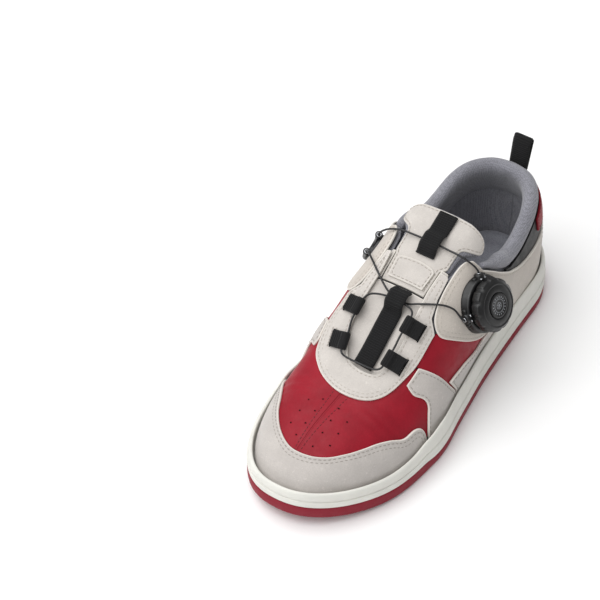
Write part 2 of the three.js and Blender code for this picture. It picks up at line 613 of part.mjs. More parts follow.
// The padded roll that binds the top line, from one flap round the heel to the other.
function buildCollarRoll() {
  const stations = [186, 194, 203, 212, 221, 230, 239, 248, 256, 263, 269, 273];
  const beside = side => t => {
    const on = at => surfacePoint(at, side > 0 ? rimPhi(at) : 180 - rimPhi(at), -COLLAR_ROLL / 2);
    const run = on(t + 1.5).sub(on(t - 1.5)).normalize();
    const { normal } = locate(t, side > 0 ? rimPhi(t) : 180 - rimPhi(t));
    const above = normal.cross(run).multiplyScalar(side);
    return on(t).addScaledVector(above.normalize(), COLLAR_ROLL + FIT);
  };
  const heel = surfacePoint(BACK, rimPhi(BACK), -COLLAR_ROLL / 2);
  heel.z += COLLAR_ROLL + FIT;
  const path = new THREE.CatmullRomCurve3([...stations.map(beside(1)), heel,
    ...stations.toReversed().map(beside(-1))]);
  const section = new THREE.Shape().absarc(0, 0, COLLAR_ROLL, 0, 2 * Math.PI);
  place('collar_roll', new THREE.ExtrudeGeometry(section,
    { extrudePath: path, steps: 32, curveSegments: 4 }), 'greyMesh');
}

// ---------------------------------------------------------------- tongue
const tongueOut = -0.5;          // outer face of the tongue under the eyestay
function buildTongue() {
  const gusset = [[84.5, 75], [100, 71], [133.6, 71], [133.6, 109], [100, 109], [84.5, 105]];
  place('tongue_gusset', panel(gusset, tongueOut - TONGUE_SKIN - 0.6, tongueOut), 'paleSuede');
  const wings = through([[157, 77], [166, 76], [172, 74], [177, 63], [181, 56.5], [186, 57],
    [189, 64], [188.5, 90], [189, 116], [186, 123], [181, 123.5], [177, 117], [172, 106], [166, 104],
    [157, 103.5]]);
  const blade = [[136.4, 82.5], [154, 81.5], ...wings, [154, 100], [136.4, 99]];
  const skin = [tongueOut - TONGUE_SKIN, tongueOut];
  const foam = [skin[0] - FIT - TONGUE_FOAM, skin[0] - FIT];
  place('tongue_skin', panel(blade, ...skin), 'paleSuede');
  place('tongue_foam', panel(blade, ...foam), 'foam');
  place('tongue_lining', panel(blade, foam[0] - FIT - TONGUE_LINING, foam[0] - FIT), 'greyMesh');
  const patch = [[139, 83.5], [151, 82.6], ...through([[153, 84], [154, 91], [153, 98]]), [151, 99],
    [139, 98]];
  place('tongue_patch', panel(patch, tongueOut + FIT, tongueOut + FIT + PATCH), 'paleSuede');
}

// ---------------------------------------------------------------- webbing
// A folded webbing seen from its edge: flat at the foot, with a tunnel for the lace.
function webbingLoop(from, to, tunnel, width) {
  const radius = tunnel / 2 + WEBBING, profile = new THREE.Shape();
  profile.moveTo(from, 0);
  profile.lineTo(to - radius, 0);
  profile.absarc(to - radius, radius, radius, -Math.PI / 2, Math.PI / 2);
  profile.lineTo(from + 5, WEBBING * 1.6);
  profile.lineTo(from, WEBBING * 1.6);
  profile.holes.push(new THREE.Path().absarc(to - radius, radius, tunnel / 2, 0, 2 * Math.PI, true));
  return new THREE.ExtrudeGeometry(profile, { depth: width, bevelEnabled: false, curveSegments: 5 })
    .translate(0, 0, -width / 2);
}

// Stands the profile up: its length over the foot, its thickness outwards.
const acrossFoot = (geometry, sign) => geometry.rotateX(Math.PI / 2)
  .rotateZ(sign * Math.PI / 2);

function buildLaceLoops() {
  const loops = {
    lace_loop_lateral_low: [99.5, 74.5, 1], lace_loop_lateral_high: [118.5, 75, 1],
    lace_loop_medial_low: [97.5, 104.5, -1], lace_loop_medial_high: [116.5, 106, -1],
  };
  for (const [name, [s, phi, sign]] of Object.entries(loops)) {
    const mesh = place(name, acrossFoot(webbingLoop(-4, 8, LACE_ROOM, LOOP_WIDTH), sign), 'blackWebbing');
    mesh.applyMatrix4(frameAt(s, phi, layer.trim + 2 * FIT));
  }
}

// A webbing from its side profile in y and z, centred on the ridge.
const fromSide = (profile, width) => new THREE.ExtrudeGeometry(profile,
  { depth: width, bevelEnabled: false, curveSegments: 6 })
  .applyMatrix4(new THREE.Matrix4().makeBasis(new THREE.Vector3(0, 1, 0), new THREE.Vector3(0, 0, 1),
    new THREE.Vector3(1, 0, 0)))
  .translate(-width / 2, 0, 0);

// A webbing that follows the ridge, with a tunnel under each raised stretch.
function ridgeWebbing(from, to, base, bumps, width) {
  const line = [];
  for (let s = from; s < to - 0.01; s += 2.5) line.push(s);
  line.push(to);
  const raise = s => bumps.reduce((h, [middle, reach, high]) =>
    h + high * (1 - smooth(Math.abs(s - middle), 0.35 * reach, reach)), 0);
  const spot = (s, out) => {
    const p = surfacePoint(s, 90, out);
    return new THREE.Vector2(p.y, p.z);
  };
  const top = line.map(s => spot(s, base + WEBBING + raise(s)));
  const bottom = line.toReversed().map(s => spot(s, base + raise(s)));
  return fromSide(new THREE.Shape([...top, ...bottom]), width);
}

function buildStraps() {
  const onTongue = tongueOut + 0.9;
  const laceHeight = 2 * LACE_ROOM + FIT;
  place('throat_strap', ridgeWebbing(89.5, 134.2, onTongue, [[128, 7, laceHeight]], STRAP_WIDTH),
    'blackWebbing');
  place('tongue_loop', ridgeWebbing(158, 187, onTongue, [[167, 8, LACE_ROOM + 1]], STRAP_WIDTH),
    'blackWebbing');
}

// The leg is stitched down the back of the heel tab, and the loop stands up from its top.
const LEG_HEIGHTS = [66, 70, 74, 78, 81];
const PULL_RISE = 22;            // from the leg's top to the middle of the loop's bend
const PULL_LEAN = 6;             // how far that is behind the leg
const PULL_BEND = 3.4;           // outer radius of the bend
const PULL_GAP = 0.2;            // between the loop's foot and the heel tab
function buildPullLoop() {
  const spot = (z, extra = 0) => {
    const p = surfacePoint(BACK, heelPhi(BACK, z), layer.trim + extra);
    return new THREE.Vector2(p.y, p.z);
  };
  const front = LEG_HEIGHTS.map(z => spot(z));
  const back = LEG_HEIGHTS.toReversed().map(z => spot(z, 2 * WEBBING));
  place('pull_loop_leg', fromSide(new THREE.Shape([...front, ...back]), STRAP_WIDTH), 'blackWebbing');

  const root = spot(LEG_HEIGHTS.at(-1));
  const foot = root.y + 1.4, topY = root.x + PULL_LEAN, topZ = root.y + PULL_RISE;
  const loop = new THREE.Shape();
  loop.moveTo(root.x + PULL_GAP, foot);
  loop.lineTo(root.x + PULL_GAP + 2 * WEBBING, foot);
  loop.lineTo(topY + PULL_BEND, topZ);
  loop.absarc(topY, topZ, PULL_BEND, 0, Math.PI);
  const room = new THREE.Path();
  room.moveTo(root.x + PULL_GAP + WEBBING, foot + 3.6);
  room.lineTo(topY - PULL_BEND + WEBBING, topZ);
  room.absarc(topY, topZ, PULL_BEND - WEBBING, Math.PI, 0, true);
  room.lineTo(root.x + 2 * PULL_GAP + WEBBING, foot + 3.2);
  loop.holes.push(room);
  place('heel_pull_loop', fromSide(loop, STRAP_WIDTH), 'blackWebbing');
}

// ---------------------------------------------------------------- dial
const DIAL_STATION = 163, DIAL_PHI = 39, DIAL_TILT = 10;
const PORT_ANGLES = [55, 152];   // where the lace leaves the housing
const PORT_REACH = 20.5;
const PORT_RADIUS = 3;
const lathe = (profile, segments = 28) =>
  new THREE.LatheGeometry(profile.map(p => new THREE.Vector2(...p)), segments).rotateX(Math.PI / 2);

// A disc with teeth or notches round it, as a flat shape.
function toothed(outer, inner, teeth, bore) {
  const shape = new THREE.Shape();
  for (let i = 0; i < teeth; i++) {
    const turn = 2 * Math.PI / teeth;
    const at = (radius, part) => [radius * Math.cos(turn * (i + part)),
      radius * Math.sin(turn * (i + part))];
    if (i === 0) shape.moveTo(...at(inner, 0)); else shape.lineTo(...at(inner, 0));
    shape.lineTo(...at(outer, 0.25));
    shape.lineTo(...at(outer, 0.6));
    shape.lineTo(...at(inner, 0.85));
  }
  if (bore) shape.holes.push(new THREE.Path().absarc(0, 0, bore, 0, 2 * Math.PI, true));
  return shape;
}
const slab = (shape, low, high) => new THREE.ExtrudeGeometry(shape,
  { depth: high - low, bevelEnabled: false, curveSegments: 14 }).translate(0, 0, low);

function buildDial() {
  const dial = new THREE.Group();
  dial.applyMatrix4(frameAt(DIAL_STATION, DIAL_PHI, layer.overlay[1])
    .multiply(new THREE.Matrix4().makeRotationX(radians(-DIAL_TILT))));
  shoe.add(dial);
  const cavity = SPOOL_RADIUS + 0.9, deck = FIT + 1.2;
  const spoolTop = deck + FIT + SPOOL_HEIGHT;
  const driveLow = spoolTop + FIT, driveHigh = driveLow + DRIVE_HEIGHT;

  // The housing's underside is cut to the curve of the flap that it sits on.
  const skirt = new THREE.CylinderGeometry(HOUSING_RADIUS - 0.8, HOUSING_RADIUS, HOUSING_HEIGHT + 9, 28)
    .rotateX(Math.PI / 2).translate(0, 0, (HOUSING_HEIGHT - 9) / 2);
  const seat = panel(roundOutline(DIAL_STATION, DIAL_PHI, 30, 28), -20, layer.trim)
    .applyMatrix4(dial.matrix.clone().invert());
  const hollow = new THREE.CylinderGeometry(cavity, cavity, 20, 24).rotateX(Math.PI / 2)
    .translate(0, 0, deck + 10);
  const radial = (radius, from, to, angle) => new THREE.CylinderGeometry(radius, radius, to - from, 10)
    .translate(0, (from + to) / 2, 0).rotateZ(radians(angle - 90)).translate(0, 0, deck + 2.3);
  const ports = PORT_ANGLES.map(angle => radial(PORT_RADIUS, cavity + 0.5, PORT_REACH, angle));
  const bores = PORT_ANGLES.map(angle => radial(LACE_ROOM / 2, cavity - 3, PORT_REACH + 2, angle));
  const post = new THREE.CylinderGeometry(POST_RADIUS, POST_RADIUS, driveHigh + 0.6 - deck + 0.5, 20)
    .rotateX(Math.PI / 2).translate(0, 0, (driveHigh + 0.6 + deck - 0.5) / 2);
  const ratchetRoom = slab(toothed(cavity + 1.5, cavity + 0.6, RATCHET_TEETH), driveLow - 0.2, 20);
  place('dial_housing', join(cut(join(skirt, ...ports), seat, hollow, ratchetRoom, ...bores), post),
    'blackPlastic', dial);

  const bore = POST_RADIUS + FIT, hub = SPOOL_RADIUS - 3;
  const spoolLow = deck + FIT;
  place('lace_spool', lathe([[bore, spoolLow], [SPOOL_RADIUS, spoolLow], [SPOOL_RADIUS, spoolLow + 0.7],
    [hub, spoolLow + 1], [hub, spoolTop - 1], [SPOOL_RADIUS, spoolTop - 0.7], [SPOOL_RADIUS, spoolTop],
    [bore, spoolTop], [bore, spoolLow]]), 'blackPlastic', dial);
  place('dial_drive', slab(toothed(cavity + 0.4, cavity - 1.8, 6, bore), driveLow, driveHigh),
    'blackPlastic', dial);
  place('dial_screw', lathe([[0, driveHigh + 0.9], [POST_RADIUS + 1.2, driveHigh + 0.9],
    [POST_RADIUS + 1.2, driveHigh + 1.7], [POST_RADIUS, driveHigh + 2.3], [0, driveHigh + 2.3]], 20),
    'steel', dial);

  const knobLow = Math.max(HOUSING_HEIGHT, driveHigh) + FIT, knobTop = knobLow + KNOB_HEIGHT;
  const grip = slab(toothed(KNOB_RADIUS, KNOB_RADIUS - 0.9, GRIP_NOTCHES), knobLow, knobTop - 1.6);
  const crownTop = lathe([[0, knobTop - 1.7], [KNOB_RADIUS - 0.9, knobTop - 1.7],
    [KNOB_RADIUS - 2.4, knobTop], [CAP_RADIUS + FIT, knobTop], [CAP_RADIUS + FIT, knobTop - 0.9],
    [0, knobTop - 0.9]]);
  const inside = new THREE.CylinderGeometry(KNOB_RADIUS - 2.6, KNOB_RADIUS - 2.6, 8, 28)
    .rotateX(Math.PI / 2).translate(0, 0, knobTop - 2.6 - 4);
  place('dial_knob', cut(join(grip, crownTop), inside), 'blackPlastic', dial);
  place('dial_cap', lathe([[0, knobTop - 0.6], [CAP_RADIUS, knobTop - 0.6], [CAP_RADIUS, knobTop + 0.1],
    [CAP_RADIUS - 0.5, knobTop + 0.4], [0, knobTop + 0.4]]), 'blackPlastic', dial);
  place('dial_backplate', panel(roundOutline(DIAL_STATION, DIAL_PHI, 14, 9), 0.1, UNDERLAY),
    'blackPlastic');
}

// ---------------------------------------------------------------- medial lace guide
const GUIDE_STATION = 163, GUIDE_PHI = 141;
function buildGuide() {
  const guide = new THREE.Group();
  guide.applyMatrix4(frameAt(GUIDE_STATION, GUIDE_PHI, layer.trim));
  shoe.add(guide);
  const height = GUIDE_TUBE + 0.4, turn = [];
  for (let i = 0; i <= 8; i++) {
    const angle = Math.PI * i / 8;
    turn.push(new THREE.Vector3(GUIDE_RADIUS * Math.cos(angle), GUIDE_RADIUS * Math.sin(angle), height));
  }
  const path = new THREE.CatmullRomCurve3([new THREE.Vector3(GUIDE_RADIUS, -8, height),
    new THREE.Vector3(GUIDE_RADIUS, -4, height), ...turn, new THREE.Vector3(-GUIDE_RADIUS, -4, height),
    new THREE.Vector3(-GUIDE_RADIUS, -8, height)]);
  const section = new THREE.Shape().absarc(0, 0, GUIDE_TUBE, 0, 2 * Math.PI);
  section.holes.push(new THREE.Path().absarc(0, 0, LACE_ROOM / 2, 0, 2 * Math.PI, true));
  place('lace_guide', new THREE.ExtrudeGeometry(section, { extrudePath: path, steps: 14,
    curveSegments: 4 }), 'blackPlastic', guide);
}

// ---------------------------------------------------------------- lace
// One coated wire: from the dial over the tongue, through the guide, down both rows of
// loops and back through the top of the strap to the dial.
const LACE_ROUTE = [
  [37.3, 24.5, 86.2], [35.7, 25.4, 89.4], [34.1, 26.4, 92.8], [31.2, 26.4, 96.3], [26, 25.5, 99.6],
  [20, 24.8, 101.7], [11.7, 24.8, 102.2], [0.6, 24.7, 102.8], [-12.5, 24.7, 102.3],
  [-21.6, 24.5, 101.6], [-29.6, 24.2, 98.4], [-34.4, 24.0, 94.6], [-37.1, 24.2, 90.8],
  [-38.2, 25.3, 87.3], [-39.2, 26.5, 84.2], [-40.4, 27.7, 80.6], [-41.9, 27.5, 75.4],
  [-42.7, 23.4, 72], [-42.3, 18, 72.2], [-40.9, 14.5, 76], [-39.7, 13.2, 79.6],
  [-38.2, 11.6, 84.1], [-36.6, 9.4, 88], [-33, 5.6, 90.2], [-27, 0.4, 91.2], [-19, -6, 90.8],
  [-12, -10.8, 89.2], [-6, -13.6, 87.1], [1, -15.2, 86.2], [8, -16.4, 86.1], [13, -18.2, 86],
  [15.2, -21.5, 84.7], [15, -26.9, 81.5], [14.9, -34.6, 76.9], [14.8, -40, 72.4],
  [14.4, -45.7, 68.8], [14, -50.3, 65.9], [12.6, -52.9, 63.9], [8.5, -54, 62.4], [0, -53.9, 61.5],
  [-9, -54.6, 62.2], [-13.6, -54.4, 63.5], [-15.5, -52, 65], [-16.1, -47.3, 67.9],
  [-16.7, -42.6, 70.8], [-18.2, -36.4, 75.6], [-18.3, -29, 80.4], [-18.1, -24.4, 83.3],
  [-16.2, -20, 84.9], [-12, -17, 85], [-6, -15, 84.6], [1, -14.4, 84.3],
  [8, -14, 84.9], [14, -12.4, 87], [21, -9.2, 88], [28, -5, 87.4], [33.5, -2, 84.6],
  [37.3, -1.2, 80.4], [39.6, -0.6, 77.4], [39.9, 0.9, 76.7], [40.5, 4.8, 76.3], [41, 8.3, 76],
];
function buildLace() {
  const path = new THREE.CatmullRomCurve3(LACE_ROUTE.map(p => new THREE.Vector3(...p)));
  const section = new THREE.Shape().absarc(0, 0, LACE / 2, 0, 2 * Math.PI);
  place('lace', new THREE.ExtrudeGeometry(section, { extrudePath: path, steps: 84,
    curveSegments: 3 }), 'lace');
}

// ---------------------------------------------------------------- the whole shoe
buildOutsole();
buildMidsole();
buildInsole();
buildFrontUpper();
buildSides();
buildRearUpper();
buildCollarRoll();
buildTongue();
buildLaceLoops();
buildStraps();
buildPullLoop();
buildDial();
buildGuide();
buildLace();

export default shoe;
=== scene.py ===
import json
import math
import bpy
import numpy as np
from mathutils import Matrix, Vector
from mathutils.geometry import delaunay_2d_cdt


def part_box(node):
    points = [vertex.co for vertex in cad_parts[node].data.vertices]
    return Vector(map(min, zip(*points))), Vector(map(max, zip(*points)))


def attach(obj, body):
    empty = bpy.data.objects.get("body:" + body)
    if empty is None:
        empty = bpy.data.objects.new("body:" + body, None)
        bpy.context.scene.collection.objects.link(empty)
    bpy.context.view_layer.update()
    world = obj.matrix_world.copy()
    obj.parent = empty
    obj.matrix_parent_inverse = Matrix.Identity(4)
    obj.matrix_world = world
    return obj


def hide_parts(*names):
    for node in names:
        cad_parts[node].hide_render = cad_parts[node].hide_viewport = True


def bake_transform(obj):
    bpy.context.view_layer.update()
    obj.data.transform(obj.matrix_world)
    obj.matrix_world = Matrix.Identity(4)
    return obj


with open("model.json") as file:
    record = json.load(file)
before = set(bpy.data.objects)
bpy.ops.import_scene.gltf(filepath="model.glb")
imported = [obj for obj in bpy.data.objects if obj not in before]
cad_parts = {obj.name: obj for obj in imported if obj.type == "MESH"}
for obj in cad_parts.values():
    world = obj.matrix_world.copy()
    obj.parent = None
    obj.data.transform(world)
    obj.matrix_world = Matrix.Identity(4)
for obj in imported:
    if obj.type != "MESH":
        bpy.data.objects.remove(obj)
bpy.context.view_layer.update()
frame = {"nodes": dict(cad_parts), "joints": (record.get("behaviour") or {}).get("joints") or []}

MM = 0.001
UP = np.array([0.0, 0.0, 1.0])


# ------------------------------------------------------------------ camera
TARGET = np.array([-73.5, -11.6, 40.0])
AZIMUTH, ELEVATION, DISTANCE = math.radians(34), math.radians(45.5), 1300.0
FOCAL_PIXELS = 2013.16                      # at 600 pixels across
toward = np.array([math.sin(AZIMUTH) * math.cos(ELEVATION), -math.cos(AZIMUTH) * math.cos(ELEVATION),
                   math.sin(ELEVATION)])
camera = bpy.data.objects.new("camera", bpy.data.cameras.new("camera"))
camera.data.sensor_width = 36
camera.data.lens = FOCAL_PIXELS / 600 * 36
camera.location = Vector((TARGET + DISTANCE * toward) * MM)
camera.rotation_euler = Vector(-toward).to_track_quat("-Z", "Y").to_euler()
bpy.context.scene.collection.objects.link(camera)
bpy.context.scene.camera = camera


# ------------------------------------------------------------------ shape of the last
# The same tables and net as the CAD, in millimetres, with a smooth surface through the net.
def table(*pairs):
    """A smooth curve through stations and values that never overshoots them."""
    x, y = np.array(pairs, float).T
    rise = np.diff(y) / np.diff(x)
    slope = np.zeros(len(x))
    slope[0], slope[-1] = rise[0], rise[-1]
    for i in range(1, len(x) - 1):
        if rise[i - 1] * rise[i] > 0:
            before, after = x[i] - x[i - 1], x[i + 1] - x[i]
            near, far = 2 * after + before, after + 2 * before
            slope[i] = (near + far) / (near / rise[i - 1] + far / rise[i])
    return lambda at: hermite(x, y, slope, at)


def hermite(x, y, slope, at):
    v = np.clip(np.asarray(at, float), x[0], x[-1])
    k = np.clip(np.searchsorted(x, v, side="right") - 1, 0, len(x) - 2)
    h = x[k + 1] - x[k]
    u = (v - x[k]) / h
    return ((2 * u**3 - 3 * u**2 + 1) * y[k] + (u**3 - 2 * u**2 + u) * h * slope[k]
            + (3 * u**2 - 2 * u**3) * y[k + 1] + (u**3 - u**2) * h * slope[k + 1])


def smooth(x, low, high):
    u = np.clip((x - low) / (high - low), 0, 1)
    return u * u * (3 - 2 * u)


LENGTH, MARGIN, TIP, BACK, FIT = 283.0, 6.5, 7.8, 276.0, 0.3
centre = table((0, -6), (30, -4.5), (70, -1.7), (110, 1), (180, 0.5), (283, 0))
half = (table((0, 47), (60, 54), (92, 54.5), (130, 49.5), (170, 44.5), (215, 41.5), (283, 39)),
        table((0, 43), (50, 50), (85, 53.5), (125, 45.5), (165, 39), (205, 39.5), (283, 39)))
upper_inset = (table((0, 6.5), (110, 6), (150, 3), (185, 3), (215, 5), (283, 7.5)),
               table((0, 6.5), (88, 5), (112, 3), (150, -1.5), (185, -1.5), (215, 3), (283, 6.5)))
flank = (table((0, 2.2), (60, 2.4), (112, 2.8), (150, 3.2), (180, 3.2), (215, 2.6), (270, 2.3)),
         table((0, 2.2), (60, 2.4), (88, 3), (112, 4), (180, 4), (215, 3.2), (270, 2.3)))
crown = (table((0, 2.2), (60, 2.1), (112, 2.1), (150, 2.3), (180, 2.5), (215, 2.5), (268, 2.6)),
         table((0, 2.2), (60, 2.1), (88, 2.3), (112, 3), (180, 3), (215, 2.7), (268, 2.6)))
toe_spring = table((0, 9), (25, 4.5), (50, 1.5), (80, 0), (255, 0), (283, 2))
outsole_edge = table((0, 9), (80, 9), (92, 7), (283, 7))
cup_floor = table((0, 1.8), (50, 3), (90, 4.5), (150, 7.5), (220, 11), (283, 10.5))
rim_rise = table((0, 9.5), (50, 8.6), (70, 9.6), (85, 13.5), (100, 17.3), (150, 15.4), (220, 12.2), (283, 11))
crest = table((0, 31), (14, 36), (26, 41), (50, 46.5), (68, 49.5), (86, 55), (108, 70), (132, 85),
              (159, 97), (190, 110), (215, 121), (283, 146))
heel_lean = table((15, 0), (30, 1.5), (50, 2.5), (65, 1), (80, -3), (95, -7), (150, -20))


def footbed(t):
    return toe_spring(t) + outsole_edge(t) + FIT + cup_floor(t)


def round_ends(t, first, last):
    toe = np.clip(1 - (t - first) / 78, 0, 1)
    heel = np.clip(1 - (last - t) / 44, 0, 1)
    return (1 - toe**2.3) ** (1 / 2.3) * (1 - heel**2.35) ** (1 / 2.35)


def last_point(t, phi):
    side = 0 if phi < 90 else 1
    nose = (1 - max(0, min(1, 1 - (t - TIP + 0.4) / 46)) ** 2.5) ** (1 / 2.5)
    sine, cosine = max(math.sin(math.radians(phi)), 0), abs(math.cos(math.radians(phi)))
    rise = (crest(t) - footbed(t)) * nose * sine ** (2 / crown[side](t))
    tuck = smooth(rise, rim_rise(t) - 1, rim_rise(t) + 18)
    inset = MARGIN + (upper_inset[side](t) - MARGIN) * tuck
    reach = (half[side](t) - inset) * round_ends(t, TIP - 0.4, BACK)
    z = footbed(t) + 0.4 + rise
    x = centre(t) + (1, -1)[side] * reach * cosine ** (2 / flank[side](t))
    return [float(x), float(t - LENGTH / 2 + heel_lean(z) * smooth(t, 215, BACK)), float(z)]


COLUMNS = [TIP, 10, 15, 24, 36, 49, 63, 77, 91, 105, 120, 135, 150, 166, 182, 198, 214, 229, 242,
           253, 262, 269.5, 274.3, BACK]
ROWS = [0, 8, 19, 31, 43, 55, 67, 79, 90, 101, 113, 125, 137, 149, 161, 172, 180]


def finer(x, net, parts):
    """More columns between those of a net, along its first axis."""
    fine = np.concatenate([np.linspace(a, b, parts, endpoint=False) for a, b in zip(x, x[1:])] + [[x[-1]]])
    flat = net.reshape(len(x), -1)
    lines = [table(*zip(x, column))(fine) for column in flat.T]
    return fine, np.array(lines).T.reshape((len(fine),) + net.shape[1:])


one_way = np.array([[last_point(t, phi) for phi in ROWS] for t in COLUMNS])
net = np.concatenate([one_way, one_way[-2::-1, ::-1]])       # round the heel and forward again
stations = np.array(COLUMNS + [2 * BACK - t for t in COLUMNS[-2::-1]])
S, net = finer(stations, net, 8)
PHI, net = finer(np.array(ROWS, float), np.swapaxes(net, 0, 1), 8)
POINTS = np.swapaxes(net, 0, 1)
NORMALS = np.cross(np.gradient(POINTS, axis=0), np.gradient(POINTS, axis=1))
NORMALS /= np.linalg.norm(NORMALS, axis=-1, keepdims=True) + 1e-12


def look_up(grid, s, phi):
    i = np.clip(np.searchsorted(S, s, side="right") - 1, 0, len(S) - 2)
    j = np.clip(np.searchsorted(PHI, phi, side="right") - 1, 0, len(PHI) - 2)
    u = np.clip((s - S[i]) / (S[i + 1] - S[i]), 0, 1)[..., None]
    v = np.clip((phi - PHI[j]) / (PHI[j + 1] - PHI[j]), 0, 1)[..., None]
    return ((1 - u) * (1 - v) * grid[i, j] + u * (1 - v) * grid[i + 1, j]
            + (1 - u) * v * grid[i, j + 1] + u * v * grid[i + 1, j + 1])


def normal(s, phi):
    n = look_up(NORMALS, np.asarray(s, float), np.asarray(phi, float))
    return n / np.linalg.norm(n, axis=-1, keepdims=True)


def surface(s, phi, out=0.0):
    """Points on the upper at (station, phi), moved outwards."""
    s, phi = np.broadcast_arrays(np.asarray(s, float), np.asarray(phi, float))
    return look_up(POINTS, s, phi) + normal(s, phi) * np.asarray(out, float)[..., None]


def phi_at(t, z):
    column = look_up(POINTS, np.full(400, float(t)), np.linspace(0, 90, 400))[:, 2]
    return float(np.interp(z, column, np.linspace(0, 90, 400)))


rim_height = table((170, 92), (180, 86), (190, 78), (200, 71.5), (210, 68), (220, 68), (230, 70.5),
                   (240, 74.5), (250, 78.5), (262, 81.5), (276, 82.5))


def rim_phi(t, drop=0.0):
    return phi_at(t, rim_height(t) - drop)


# ------------------------------------------------------------------ meshes
def make(name, points, faces, material, body, nodes=(), values=None, hard=None):
    """A mesh piece from points in millimetres that rides a body and stands for CAD nodes."""
    mesh = bpy.data.meshes.new(name)
    mesh.from_pydata((np.asarray(points) * MM).tolist(), [], [list(map(int, f)) for f in faces])
    mesh.materials.append(material)
    mesh.update()
    mesh.shade_smooth()
    if hard:
        mesh.set_sharp_from_angle(angle=math.radians(hard))
    for key, value in (values or {}).items():
        mesh.attributes.new(key, "FLOAT", "POINT").data.foreach_set("value", np.asarray(value, np.float32))
    piece = bpy.data.objects.new(name, mesh)
    bpy.context.scene.collection.objects.link(piece)
    if body:
        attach(piece, body)
    if nodes:
        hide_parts(*nodes)
    return piece


class Heap:
    """Many small solids gathered into one piece."""

    def __init__(self):
        self.points, self.faces = [], []

    def add(self, points, faces):
        first = len(self.points)
        self.points.extend(np.asarray(points).tolist())
        self.faces.extend([[first + i for i in f] for f in faces])


def square(vector, axis):
    """The unit vector nearest to a vector at right angles to an axis."""
    flat = vector - axis * (vector @ axis)
    return flat / np.linalg.norm(flat)


def lengths(path):
    """Distance along a path to each of its points."""
    return np.concatenate([[0], np.cumsum(np.linalg.norm(np.diff(path, axis=0), axis=1))])


def around(radius, count):
    """Points (x, y) at even angles round a circle."""
    angle = np.arange(count) * 2 * math.pi / count
    return np.stack([radius * np.cos(angle), radius * np.sin(angle)], 1)


def grid_faces(rows, columns):
    """Quads between closed rows of points."""
    faces = []
    for r in range(rows - 1):
        for c in range(columns):
            a, b = r * columns + c, r * columns + (c + 1) % columns
            faces.append([a, b, b + columns, a + columns])
    return faces


def tube_faces(rows, columns):
    """Quads between closed rows of points, with both ends capped."""
    last = (rows - 1) * columns
    return grid_faces(rows, columns) + [list(range(columns))[::-1], list(range(last, last + columns))]


def spline(points, per_span=6, closed=False):
    """A Catmull-Rom curve through points of any dimension."""
    p = np.array(points, float)
    q = np.vstack([p[-1:], p, p[:2]]) if closed else np.vstack([p[:1], p, p[-1:]])
    out = []
    for a, b, c, d in zip(q, q[1:], q[2:], q[3:]):
        for u in np.arange(per_span) / per_span:
            out.append(0.5 * (2 * b + (c - a) * u + (2 * a - 5 * b + 4 * c - d) * u**2
                              + (3 * b - a - 3 * c + d) * u**3))
    return np.array(out if closed else out + [p[-1]])


def even(path, step, closed=False):
    """The path again, with points a step apart."""
    p = np.array(path, float)
    if closed:
        p = np.vstack([p, p[:1]])
    run = lengths(p)
    n = max(2, int(round(run[-1] / step)) + 1)
    at = np.linspace(0, run[-1], n)
    out = np.stack([np.interp(at, run, p[:, k]) for k in range(p.shape[1])], 1)
    return out[:-1] if closed else out


def frames(path, normals=None, closed=False):
    """Tangent, side and normal at each point of a path."""
    p = np.asarray(path)
    run = np.roll(p, -1, 0) - np.roll(p, 1, 0) if closed else np.gradient(p, axis=0)
    run /= np.linalg.norm(run, axis=1, keepdims=True)
    if normals is None:
        n = np.zeros_like(p)
        n[0] = np.cross(run[0], np.cross(UP if abs(run[0][2]) < 0.9 else [1, 0, 0], run[0]))
        for i in range(1, len(p)):
            n[i] = n[i - 1]
            n[i] -= run[i] * (n[i] @ run[i])
            n[i] /= np.linalg.norm(n[i])
    else:
        n = np.array(normals, float)
    n -= run * (n * run).sum(1, keepdims=True)
    n /= np.linalg.norm(n, axis=1, keepdims=True)
    return run, np.cross(n, run), n


def sweep(path, sections, normals=None, closed=False):
    """Sections (side, normal) carried along a path: points and faces of a closed tube."""
    _, side, up = frames(path, normals, closed)
    sections = np.broadcast_to(sections, (len(path),) + np.shape(sections)[-2:])
    rings = (np.asarray(path)[:, None] + side[:, None] * sections[..., :1]
             + up[:, None] * sections[..., 1:])
    n = sections.shape[1]
    if closed:
        last = (len(path) - 1) * n
        faces = grid_faces(len(path), n)
        faces += [[last + c, last + (c + 1) % n, (c + 1) % n, c] for c in range(n)]
    else:
        faces = tube_faces(len(path), n)
    return rings.reshape(-1, 3), faces


def lathe(profile, segments=72, wave=None):
    """A turned solid about +Z from (radius, height); wave(angle) scales radii marked by a third value."""
    a = np.arange(segments) * 2 * math.pi / segments
    rows = []
    for item in profile:
        radius, height = item[0], item[1]
        grow = wave(a) * item[2] if wave is not None and len(item) > 2 else 0 * a
        rows.append(np.stack([(radius + grow) * np.cos(a), (radius + grow) * np.sin(a), height + 0 * a], 1))
    return np.concatenate(rows), tube_faces(len(rows), segments)


# ------------------------------------------------------------------ panels on the last
def chart(outline):
    """Flat coordinates in millimetres for chart points, and the way back."""
    s, phi = np.asarray(outline, float).T
    row = look_up(POINTS, S, np.full(len(S), min(max(phi.mean(), 25), 155)))
    along = lengths(row)
    column = look_up(POINTS, np.full(len(PHI), min(max(s.mean(), 30), 2 * BACK - 30)), PHI)
    over = lengths(column)
    flat = lambda p: np.stack([np.interp(p[:, 0], S, along), np.interp(p[:, 1], PHI, over)], 1)
    back = lambda p: np.stack([np.interp(p[:, 0], along, S), np.interp(p[:, 1], over, PHI)], 1)
    return flat, back


